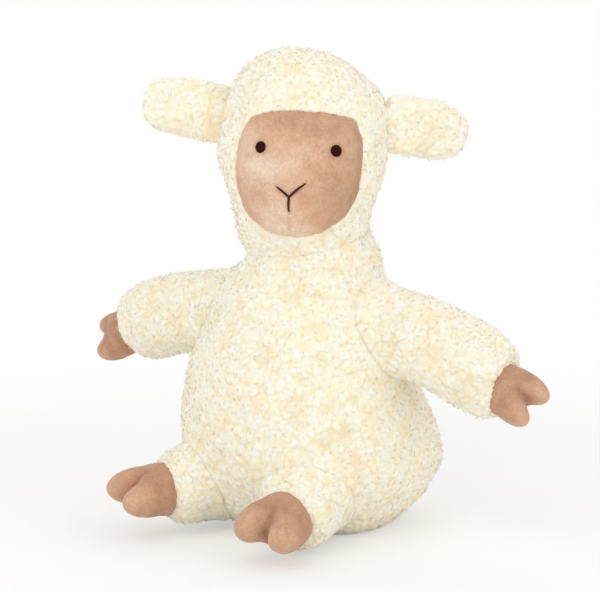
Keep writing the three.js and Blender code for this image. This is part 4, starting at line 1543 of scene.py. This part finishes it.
@dataclass
class Limb:
    """A swelling and tapering limb along a bent spine, with its root a ball about the joint."""

    pivot: Vector
    bend: Vector
    end: Vector
    side: Vector
    root: tuple[float, float, float]
    stations: Rows
    cuff_shift: float = 0.0
    cuff_tilt_deg: float = 0.0
    late_from: float = 0.6
    bare_depth: float = 3 * MM
    bare_share: float = 0.8
    seam_back_mm: float = 4
    seam_share: float = 0.9
    root_rings: int = 6
    rings: int = 24
    gap_rings: int = 12
    segments: int = 48

    def frame_at(self, share: float) -> tuple[Vector, Vector, Vector, Vector]:
        """Gives the spine's place and directions.

        Args:
            share: The share of the way along the spine.

        Returns:
            The centre, and the directions to the side, up and along.
        """
        centre = self.pivot + self.bend * 2 * share * (1 - share) + self.end * share ** 2
        along = (self.bend * 2 * (1 - 2 * share) + self.end * 2 * share).normalized()
        side = (self.side - along * self.side.dot(along)).normalized()
        return centre, side, along.cross(side), along

    def sections(self) -> list[Matrix]:
        """Works out the limb's rings.

        Returns:
            The rings, from its root to its end.
        """
        centre, side, up, along = self.frame_at(0)
        half_side, half_up, reach = self.root
        rings = []
        for number in range(self.root_rings):
            angle = math.pi / 2 * (number + 0.5) / self.root_rings
            back, wide = centre - along * reach * math.cos(angle), math.sin(angle)
            rings.append(oval(back, side, up, half_side * wide, half_up * wide))
        for share, wide, tall in smooth_rows([(0.0, half_side, half_up), *self.stations], self.rings):
            centre, side, up, along = self.frame_at(share)
            late = max(share - self.late_from, 0) / (1 - self.late_from)
            tilt = Matrix.Rotation(math.radians(self.cuff_tilt_deg * late), 3, up)
            rings.append(oval(centre + along * self.cuff_shift * late, tilt @ side, up, wide, tall))
        return rings

    def form(self) -> bmesh.types.BMesh:
        """Lofts the limb's closed shape."""
        return loft(self.sections(), self.segments)

    def gap_from(self, points: np.ndarray) -> np.ndarray:
        """Gives how far places are from the limb, less than zero inside it.

        Args:
            points: The places, as rows.

        Returns:
            One distance for each place.
        """
        rows = smooth_rows([(0.0, *self.root[:2]), *self.stations], self.gap_rings)
        gaps = [
            np.linalg.norm(points - np.array(self.frame_at(share)[0]), axis=1) - min(wide, tall)
            for share, wide, tall in rows
        ]
        return np.min(gaps, axis=0)


@dataclass
class Hoof:
    """A cloven hoof: a heel with two rounded toes that part at a cleft."""

    length: float
    half_spread: float
    half_thickness: float
    cuff: float
    roll_deg: float
    toe_length_share: float = 0.6
    toe_spread_share: float = 0.52
    toe_offset_share: float = 0.48
    toe_thickness_share: float = 0.86
    toe_splay_deg: float = 5
    heel_length_share: float = 0.66
    cuff_length_share: float = 0.5
    tuck: float = 9 * MM
    cleft_from_share: float = 0.3
    cleft_fade_share: float = 0.3
    cleft_width: float = 1.6 * MM
    cleft_depth: float = 1.8 * MM
    crease_spread: float = 2.2
    toe_from: float = 0.45
    toe_fade: float = 0.4
    fold_at: float = 0.4
    fold_width: float = 0.1
    cuff_fade: float = 0.12
    nap_rest: float = 0.55
    # Lighter towards the toes, then painted shade at the fold, in the cleft and under the cuff
    toe_lightening: float = 0.25
    fold_painted_shade: float = 0.12
    cleft_painted_shade: float = 0.35
    cuff_painted_shade: float = 0.2
    heel_rings: int = 18
    heel_segments: int = 40
    tuck_shares: Rows = field(default_factory=lambda: [(1.0, 0.7), (0.8, 0.8)])
    heel_shares: Rows = field(default_factory=lambda: [
        (0, 0.86), (0.2, 0.97), (0.5, 1.0), (0.75, 0.86), (0.9, 0.6), (1, 0.2),
    ])

    def build(self, name: str, place: Matrix, wardrobe: Wardrobe) -> bpy.types.Object:
        """Builds the hoof at the end of a limb.

        Args:
            name: The object's name.
            place: The frame at the limb's end, with Z along the limb.
            wardrobe: The finishes.

        Returns:
            The hoof's object.
        """
        heel = self.length * self.heel_length_share
        rings = [
            oval(Vector((0, 0, -self.tuck * back)), X_AXIS, Y_AXIS, wide * self.cuff, wide * self.cuff)
            for back, wide in self.tuck_shares
        ]
        for along, width in smooth_rows(self.heel_shares, self.heel_rings):
            grown = min(1, along / self.cuff_length_share)
            rings.append(oval(
                Vector((0, 0, along * heel)), X_AXIS, Y_AXIS,
                (self.cuff + (self.half_spread - self.cuff) * grown) * width,
                (self.cuff + (self.half_thickness - self.cuff) * grown) * width,
            ))
        shape = loft(rings, self.heel_segments)
        reach = self.length * self.toe_length_share
        for sign in (-1, 1):
            toe = bmesh.ops.create_uvsphere(shape, u_segments=32, v_segments=20, radius=1.0)["verts"]
            bmesh.ops.scale(shape, verts=toe, vec=(
                self.half_spread * self.toe_spread_share, self.half_thickness * self.toe_thickness_share, reach,
            ))
            splay = Matrix.Rotation(sign * math.radians(self.toe_splay_deg), 4, "Y")
            moved = Matrix.Translation((sign * self.half_spread * self.toe_offset_share, 0, self.length - reach))
            bmesh.ops.transform(shape, matrix=moved @ splay, verts=toe)
        rolled = place @ Matrix.Rotation(math.radians(self.roll_deg), 4, "Z")
        bmesh.ops.transform(shape, matrix=rolled, verts=shape.verts[:])
        form = StuffedForm(
            voxel=1.5 * MM, swell_cap=1.2 * MM, lump_size=12 * MM, lump_depth=0.5 * MM, smoothing=3, floor=0.5 * MM,
        )
        hoof = form.make(name, shape, levels=1)
        self.pull_cleft(hoof, rolled)
        dress(hoof, wardrobe.hoof_velour_painted_shade)
        return hoof

    def pull_cleft(self, hoof: bpy.types.Object, place: Matrix) -> None:
        """Pulls the skin in along the seam between the toes and marks painted shade in the cleft, at the fold and
        under the cuff, with the toes lighter.

        Args:
            hoof: The hoof's object.
            place: The hoof's frame, with the toes side by side along X.
        """
        points = points_of(hoof.data)
        own = in_frame(points, place)
        share = own[:, 2] / self.length
        along = soft_step(np.clip((share - self.cleft_from_share) / self.cleft_fade_share, 0, 1))
        pulled = along * np.exp(-(own[:, 0] / self.cleft_width) ** 2)
        set_points(hoof.data, points - normals_of(hoof.data) * (pulled * self.cleft_depth)[:, None])
        # Lighter towards the toe tips, with painted shade at the fold, in the cleft and under the cuff
        nap = self.nap_rest + self.toe_lightening * np.clip((share - self.toe_from) / self.toe_fade, 0, 1)
        nap -= self.fold_painted_shade * np.exp(-((share - self.fold_at) / self.fold_width) ** 2)
        nap -= self.cleft_painted_shade * along * np.exp(-(own[:, 0] / (self.crease_spread * self.cleft_width)) ** 2)
        nap -= self.cuff_painted_shade * np.exp(-np.maximum(own[:, 2], 0) / (self.cuff_fade * self.length))
        mark(hoof.data, "nap", np.clip(nap, 0, 1))


@dataclass
class Arm:
    """One arm: a fleece sleeve bent at the shoulder and a hoof for a hand."""

    side: Side
    drop: float
    roll_deg: float
    cuff_shift: float
    cuff_tilt_deg: float
    reach: float = 97 * MM
    forward: float = 2 * MM
    mid_rise: float = 7 * MM
    root_radius: float = 26 * MM
    half_height: float = 30 * MM
    half_depth: float = 28 * MM
    cuff: float = 19 * MM
    seed: int = 31
    swell_shares: Rows = field(default_factory=lambda: [(0.3, 0.98), (0.55, 1.0), (0.78, 0.98), (0.93, 0.9)])

    def limb(self) -> Limb:
        """Works out the arm's form about its joint.

        Returns:
            The form.
        """
        sign = self.side.sign
        return Limb(
            pivot=Vector(JOINTS[f"{self.side.value}_arm_swing"]["pos_m"]),
            bend=Vector((sign * self.reach / 2, -self.forward / 2, self.mid_rise - self.drop / 2)),
            end=Vector((sign * self.reach, -self.forward, -self.drop)),
            side=Z_AXIS,
            root=(self.root_radius,) * 3,
            stations=[
                *[(share, self.half_height * swell, self.half_depth * swell) for share, swell in self.swell_shares],
                (1.0, self.cuff, self.cuff),
            ],
            cuff_shift=self.cuff_shift, cuff_tilt_deg=self.cuff_tilt_deg,
        )

    def build(self, wardrobe: Wardrobe, torso: bpy.types.Object) -> None:
        """Builds the sleeve, its pile and the hand.

        Args:
            wardrobe: The finishes.
            torso: The torso's skin.
        """
        name = f"{self.side.value}_arm"
        hoof = Hoof(
            length=30 * MM, half_spread=18 * MM, half_thickness=15 * MM, cuff=self.cuff,
            roll_deg=-self.side.sign * self.roll_deg,
        )
        build_limb(name, f"{self.side.value}_hand", self.limb(), hoof, wardrobe, torso, self.seed + self.side.sign)


@dataclass
class Leg:
    """One short leg: a fleece sleeve bent at the hip and a hoof for a foot."""

    side: Side
    drop: float
    splay_deg: float
    roll_deg: float = -10
    cuff_shift: float = 3 * MM
    reach: float = 30 * MM
    mid_rise: float = 1 * MM
    root_radius: float = 25 * MM
    half_height: float = 25.5 * MM
    half_width: float = 28 * MM
    cuff: float = 21 * MM
    seed: int = 41
    swell_shares: Rows = field(default_factory=lambda: [(0.3, 1.0), (0.55, 1.0), (0.78, 0.99), (0.93, 0.93)])

    def limb(self) -> Limb:
        """Works out the leg's form about its joint.

        Returns:
            The form.
        """
        splay = math.radians(self.splay_deg)
        out = Vector((self.side.sign * math.sin(splay), -math.cos(splay), 0))
        return Limb(
            pivot=Vector(JOINTS[f"{self.side.value}_leg_lift"]["pos_m"]),
            bend=out * self.reach / 2 + Z_AXIS * (self.mid_rise - self.drop / 2),
            end=out * self.reach - Z_AXIS * self.drop,
            side=out.cross(Z_AXIS) * -1,
            root=(self.root_radius,) * 3,
            stations=[
                *[(share, self.half_width * swell, self.half_height * swell) for share, swell in self.swell_shares],
                (1.0, self.cuff, self.cuff),
            ],
            cuff_shift=self.cuff_shift,
        )

    def build(self, wardrobe: Wardrobe, torso: bpy.types.Object) -> None:
        """Builds the sleeve, its pile and the foot.

        Args:
            wardrobe: The finishes.
            torso: The torso's skin.
        """
        name = f"{self.side.value}_leg"
        hoof = Hoof(
            length=39 * MM, half_spread=24 * MM, half_thickness=15.5 * MM, cuff=self.cuff, roll_deg=self.roll_deg,
        )
        build_limb(name, f"{self.side.value}_foot", self.limb(), hoof, wardrobe, torso, self.seed + self.side.sign)


def build_limb(
    name: str, end_name: str, limb: Limb, hoof: Hoof, wardrobe: Wardrobe, torso: bpy.types.Object, seed: int,
) -> None:
    """Builds a sleeve with its pile, and the hoof that it holds.

    Args:
        name: The limb's name, which its body and sleeve share.
        end_name: The name of the hand or foot.
        limb: The limb's form.
        hoof: The hoof's form.
        wardrobe: The finishes.
        torso: The torso's skin, which the sleeve is sewn to.
        seed: What starts the pile's random numbers.
    """
    skin = StuffedForm(voxel=3 * MM, swell_cap=2 * MM, floor=0.5 * MM).make(f"{name}_fleece", limb.form())
    fill_seam(skin, gap_between(points_of(skin.data), torso))
    TuftRelief().raise_on(skin)
    centre, side, up, along = limb.frame_at(1)
    outer = np.array(centre), np.array(along)

    def off_cuff(roots: np.ndarray) -> np.ndarray:
        """Keeps roots off the flat end that the hoof fills.

        Args:
            roots: Their places, as rows.

        Returns:
            True for each that is kept.
        """
        past = (roots - outer[0]) @ outer[1]
        away = np.linalg.norm(roots - outer[0] - past[:, None] * outer[1], axis=1)
        return ~((past > limb.cuff_shift - limb.bare_depth) & (away < limb.bare_share * hoof.cuff))

    pile = Pile().grow(f"{name}_pile", skin, seed, off_cuff)
    root_along = limb.frame_at(0)[3]
    back, ahead = root_along * limb.seam_back_mm * MM, root_along * limb.seam_share * limb.root[0]
    dress_fleece(wardrobe, 0.8, skin, pile)
    Joint("torso", name, limb.pivot - back, limb.pivot + ahead).carry(skin, pile)
    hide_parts(f"{name}_sleeve")
    end = hoof.build(f"{end_name}_velour", oval(centre, side, up, 1, 1), wardrobe)
    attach(end, name)
    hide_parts(f"{end_name}_hoof")


@dataclass
class Ear:
    """One flat fleece ear, sewn from a front and a back piece and held at the side of the head."""

    side: Side
    rise: float
    sweep_deg: float
    head: Head
    length: float = 58 * MM
    half_height: float = 22 * MM
    half_thickness: float = 9 * MM
    pivot_side: float = 57 * MM
    pivot_forward: float = 2 * MM
    pivot_height: float = 284 * MM
    seam_mm: tuple[float, float] = (3, 14)
    seed: int = 51
    shares: Rows = field(default_factory=lambda: [
        (0.2, 1.02, 1.0), (0.42, 1.02, 0.98), (0.64, 0.98, 0.92), (0.82, 0.86, 0.8), (0.94, 0.66, 0.62),
        (1.0, 0.36, 0.34),
    ])

    def build(self, wardrobe: Wardrobe) -> None:
        """Builds the ear's skin and pile.

        Args:
            wardrobe: The finishes.
        """
        sign = self.side.sign
        pivot = Vector((sign * self.pivot_side, self.head.neck.y - self.pivot_forward, self.pivot_height))
        sweep = math.radians(self.sweep_deg)
        tip = Vector((sign * self.length * math.cos(sweep), self.length * math.sin(sweep), self.rise))
        tall, thick = self.half_height, self.half_thickness
        stations = [(share, tall * wide, thick * deep) for share, wide, deep in self.shares]
        root = (tall, thick, thick)
        shape = Limb(pivot=pivot, bend=tip / 2, end=tip, side=Z_AXIS, root=root, stations=stations).form()
        place = self.head.placed
        bmesh.ops.transform(shape, matrix=place, verts=shape.verts[:])
        name = f"{self.side.value}_ear"
        skin = StuffedForm(voxel=2.5 * MM, swell_cap=0.7 * MM).make(f"{name}_fleece", shape)
        TuftRelief().raise_on(skin)
        pile = Pile().grow(f"{name}_pile", skin, self.seed + sign)
        along = (place.to_3x3() @ tip).normalized()
        hinge = place @ pivot
        back, ahead = (along * reach_mm * MM for reach_mm in self.seam_mm)
        dress_fleece(wardrobe, 0.4, skin, pile)
        Joint("head", name, hinge - back, hinge + ahead).carry(skin, pile)
        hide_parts(f"{name}_front", f"{name}_back")


@dataclass
class Tail:
    """The short fleece tail at the back."""

    length: float = 34 * MM
    droop_deg: float = 50
    root_radius: float = 9 * MM
    half_width: float = 12 * MM
    half_thickness: float = 10 * MM
    seam_mm: tuple[float, float] = (2, 9)
    seed: int = 61
    swell_shares: Rows = field(default_factory=lambda: [(0.3, 1.0), (0.6, 1.05), (0.85, 0.95), (1.0, 0.6)])

    def build(self, wardrobe: Wardrobe) -> None:
        """Builds the tail's skin and pile.

        Args:
            wardrobe: The finishes.
        """
        droop = math.radians(self.droop_deg)
        tip = Vector((0, math.cos(droop), -math.sin(droop))) * self.length
        wide, thick = self.half_width, self.half_thickness
        limb = Limb(
            pivot=Vector(JOINTS["tail_swing"]["pos_m"]), bend=tip / 2, end=tip, side=X_AXIS,
            root=(self.root_radius,) * 3,
            stations=[(share, wide * swell, thick * swell) for share, swell in self.swell_shares],
        )
        skin = StuffedForm(voxel=2 * MM, swell_cap=1 * MM).make("tail_fleece", limb.form())
        TuftRelief().raise_on(skin)
        pile = Pile().grow("tail_pile", skin, self.seed)
        back, ahead = (tip.normalized() * reach_mm * MM for reach_mm in self.seam_mm)
        dress_fleece(wardrobe, 0.6, skin, pile)
        Joint("torso", "tail", limb.pivot - back, limb.pivot + ahead).carry(skin, pile)
        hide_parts("tail")


@dataclass
class Insides:
    """The filling of each cover, the pellet bag and the eyes' washers."""

    lump_size: float = 9 * MM
    lump_depth: float = 0.5 * MM
    voxel: float = 3 * MM
    room: float = 2 * MM
    covers: dict[str, tuple[str, ...]] = field(default_factory=lambda: {
        "torso": ("torso_fleece", "head_fleece"),
        "head": ("head_fleece", "face_velour", "torso_fleece"),
        "left_arm": ("left_arm_fleece", "left_hand_velour", "torso_fleece"),
        "right_arm": ("right_arm_fleece", "right_hand_velour", "torso_fleece"),
        "left_leg": ("left_leg_fleece", "left_foot_velour", "torso_fleece"),
        "right_leg": ("right_leg_fleece", "right_foot_velour", "torso_fleece"),
    })

    def build(self, wardrobe: Wardrobe) -> None:
        """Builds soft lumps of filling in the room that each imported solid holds.

        Args:
            wardrobe: The finishes.
        """
        for body in self.covers:
            self.soften(f"{body}_stuffing", body, f"{body}_fibrefill", wardrobe.fibre)
        self.soften("pellet_bag", "torso", "pellet_bag_cloth", wardrobe.bag)
        for side in Side:
            washer = frame["nodes"][f"{side.value}_eye_washer"]
            washer.data.materials.clear()
            washer.data.materials.append(wardrobe.washer)

    def soften(
        self, node: str, body: str, name: str, material: bpy.types.Material,
    ) -> None:
        """Replaces one packed soft solid by a remeshed and lumpy copy of it, held inside its covers.

        Args:
            node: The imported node.
            body: The body that carries it.
            name: The new piece's name.
            material: Its finish.
        """
        shape = bmesh.new()
        shape.from_mesh(frame["nodes"][node].data)
        bmesh.ops.remove_doubles(shape, verts=shape.verts[:], dist=0.01 * MM)
        piece = as_object(name, shape)
        modify(piece, "REMESH", mode="VOXEL", voxel_size=self.voxel, use_smooth_shade=True)
        modify(piece, "SMOOTH", factor=0.5, iterations=4)
        points = points_of(piece.data)
        lumps = np.array([noise.noise(Vector(point) / self.lump_size) for point in points])
        lumpy = points + normals_of(piece.data) * (lumps * self.lump_depth - self.lump_depth)[:, None]
        set_points(piece.data, self.held(lumpy, self.covers[body]))
        dress(piece, material)
        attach(piece, body)
        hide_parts(node)

    def held(self, points: np.ndarray, covers: tuple[str, ...]) -> np.ndarray:
        """Brings places that no cover holds to the nearest cover's inner side.

        Args:
            points: The places, as rows.
            covers: The names of the closed pieces that may hold them.

        Returns:
            The places, each inside one of the covers.
        """
        trees = [tree_of(bpy.data.objects[cover]) for cover in covers]
        rows = []
        for row in points:
            point = Vector(row)
            gap, spot, facing = min((nearest(tree, point) for tree in trees), key=lambda found: found[0])
            rows.append(spot - facing * self.room if gap > -self.room else point)
        return np.array([tuple(row) for row in rows])


@dataclass
class Studio:
    """The camera at the photograph's angle, a pale floor and soft light."""

    azimuth_deg: float = 35
    elevation_deg: float = 8
    distance: float = 1.4
    target: Vector = field(default_factory=lambda: Vector((0, 0, 0.165)))
    lens_mm: float = 120.1
    sensor_mm: float = 36
    shift: tuple[float, float] = (-0.02, -0.0117)
    clip_end: float = 50
    floor_size: float = 12.0
    paper_near: float = 0.3
    paper_far: float = 0.7
    paper_glow: float = 0.4
    world_light: float = 0.71
    rays: tuple[str, ...] = ("Is Camera Ray", "Is Glossy Ray", "Is Transmission Ray")
    lamps: dict[str, tuple[float, ...]] = field(default_factory=lambda: {
        "key": (-4, 36, 1.8, 1.8, 7.5), "fill": (85, 22, 2.2, 1.8, 10), "low": (20, 4, 2.2, 1.6, 4),
        "rim": (205, 50, 2.0, 1.4, 5), "glint": (10, 45, 1.6, 0.12, 0.8),
    })

    def build(self) -> None:
        """Builds the camera, the floor, the square soft boxes and the world."""
        bpy.context.scene.view_settings.view_transform = "Standard"
        data = bpy.data.cameras.new("camera")
        data.lens, data.sensor_width = self.lens_mm, self.sensor_mm
        data.shift_x, data.shift_y = self.shift
        data.clip_end = self.clip_end
        bpy.context.scene.camera = self.aim(data, self.azimuth_deg, self.elevation_deg, self.distance)
        self.lay_floor()
        for name, (azimuth_deg, elevation_deg, away, size, watts) in self.lamps.items():
            lamp = bpy.data.lights.new(name, "AREA")
            lamp.shape, lamp.size, lamp.energy = "SQUARE", size, watts
            self.aim(lamp, azimuth_deg, elevation_deg, away)
        self.light_world()

    def aim(
        self, data: bpy.types.Camera | bpy.types.Light, azimuth_deg: float, elevation_deg: float, away: float,
    ) -> bpy.types.Object:
        """Hangs a camera or a lamp so that it faces the sheep.

        Args:
            data: The camera or lamp.
            azimuth_deg: Its direction, from -Y towards +X.
            elevation_deg: Its height angle.
            away: Its distance from the sheep.

        Returns:
            Its object.
        """
        azimuth, elevation = math.radians(azimuth_deg), math.radians(elevation_deg)
        back = Vector((
            math.sin(azimuth) * math.cos(elevation), -math.cos(azimuth) * math.cos(elevation), math.sin(elevation),
        ))
        made = bpy.data.objects.new(data.name, data)
        made.location = self.target + back * away
        made.rotation_euler = back.to_track_quat("Z", "Y").to_euler()
        bpy.context.scene.collection.objects.link(made)
        return made

    def lay_floor(self) -> None:
        """Lays the pale floor under the sheep."""
        shape = bmesh.new()
        bmesh.ops.create_grid(shape, x_segments=1, y_segments=1, size=self.floor_size / 2)
        floor = as_object("floor", shape, smooth=False)
        floor.data.materials.append(self.floor_finish())

    def floor_finish(self) -> bpy.types.Material:
        """Makes matte white paper that the camera sees as plain white away from the sheep's shadow.

        Returns:
            The material.
        """
        paper = Finish("white_seamless_paper")
        material, tree, bsdf = paper.start(Base_Color=linear("#fbfbfa"), Roughness=0.95, Specular_IOR_Level=0.0)
        place = paper.place(tree)["Vector"]
        away = add_node(tree, "ShaderNodeVectorMath", {"operation": "LENGTH"}, {0: place}).outputs["Value"]
        settings = {
            "interpolation_type": "SMOOTHSTEP", "From Min": self.paper_near, "From Max": self.paper_far,
            "To Min": self.paper_glow,
        }
        share = add_node(tree, "ShaderNodeMapRange", settings, {"Value": away}).outputs["Result"]
        seen = self.seen_by_rays(tree)
        both = add_node(tree, "ShaderNodeMath", {"operation": "MULTIPLY"}, {0: share, 1: seen}).outputs[0]
        white = add_node(tree, "ShaderNodeEmission", {"Color": (1, 1, 1, 1), "Strength": 1.0}).outputs[0]
        mixed = add_node(tree, "ShaderNodeMixShader", links={0: both, 1: bsdf.outputs["BSDF"], 2: white})
        output = next(node for node in tree.nodes if node.type == "OUTPUT_MATERIAL")
        tree.links.new(mixed.outputs[0], output.inputs["Surface"])
        return material

    def seen_by_rays(self, tree: bpy.types.NodeTree) -> bpy.types.NodeSocket:
        """Adds a value that is one for camera, glossy and transmission rays, and zero for the rest.

        Args:
            tree: The node tree.

        Returns:
            The value's output.
        """
        path = add_node(tree, "ShaderNodeLightPath")
        seen = path.outputs[self.rays[0]]
        for name in self.rays[1:]:
            either = {0: seen, 1: path.outputs[name]}
            seen = add_node(tree, "ShaderNodeMath", {"operation": "MAXIMUM"}, either).outputs[0]
        return seen

    def light_world(self) -> None:
        """Makes a white surround that lights softly and shows white to the camera and in reflections."""
        world = bpy.data.worlds.new("studio")
        world.use_nodes = True
        bpy.context.scene.world = world
        tree = world.node_tree
        tree.nodes.clear()
        settings = {"To Min": self.world_light, "To Max": 1.0}
        strength = add_node(tree, "ShaderNodeMapRange", settings, {"Value": self.seen_by_rays(tree)})
        shade = add_node(
            tree, "ShaderNodeBackground", {"Color": (1, 1, 1, 1)}, {"Strength": strength.outputs["Result"]},
        )
        add_node(tree, "ShaderNodeOutputWorld", links={"Surface": shade.outputs["Background"]})


def main() -> None:
    """Builds the studio and every piece in order."""
    logging.basicConfig(level=logging.INFO, format="%(name)s: %(message)s")
    Studio().build()
    wardrobe = Wardrobe()
    arms = (Arm(Side.LEFT, 35 * MM, 45, 2 * MM, 14), Arm(Side.RIGHT, 27 * MM, 32, -4.5 * MM, 0))
    legs = (Leg(Side.LEFT, 3 * MM, 3), Leg(Side.RIGHT, -1 * MM, 26))
    lifts = [(arm.limb(), 4.5 * MM) for arm in arms] + [(leg.limb(), 3 * MM) for leg in legs]
    torso = Torso().build(wardrobe, lifts)
    LOG.info("torso built")
    head = Head()
    face = Face(head)
    head.build(wardrobe, face, torso)
    face.build(wardrobe)
    LOG.info("head and face built")
    for ear in (Ear(Side.LEFT, -8 * MM, 20, head), Ear(Side.RIGHT, 8 * MM, 0, head)):
        ear.build(wardrobe)
    LOG.info("ears built")
    for limb in (*arms, *legs):
        limb.build(wardrobe, torso)
    LOG.info("arms and legs built")
    Tail().build(wardrobe)
    Insides().build(wardrobe)
    LOG.info("tail and insides built")


if __name__ == "__main__":
    main()
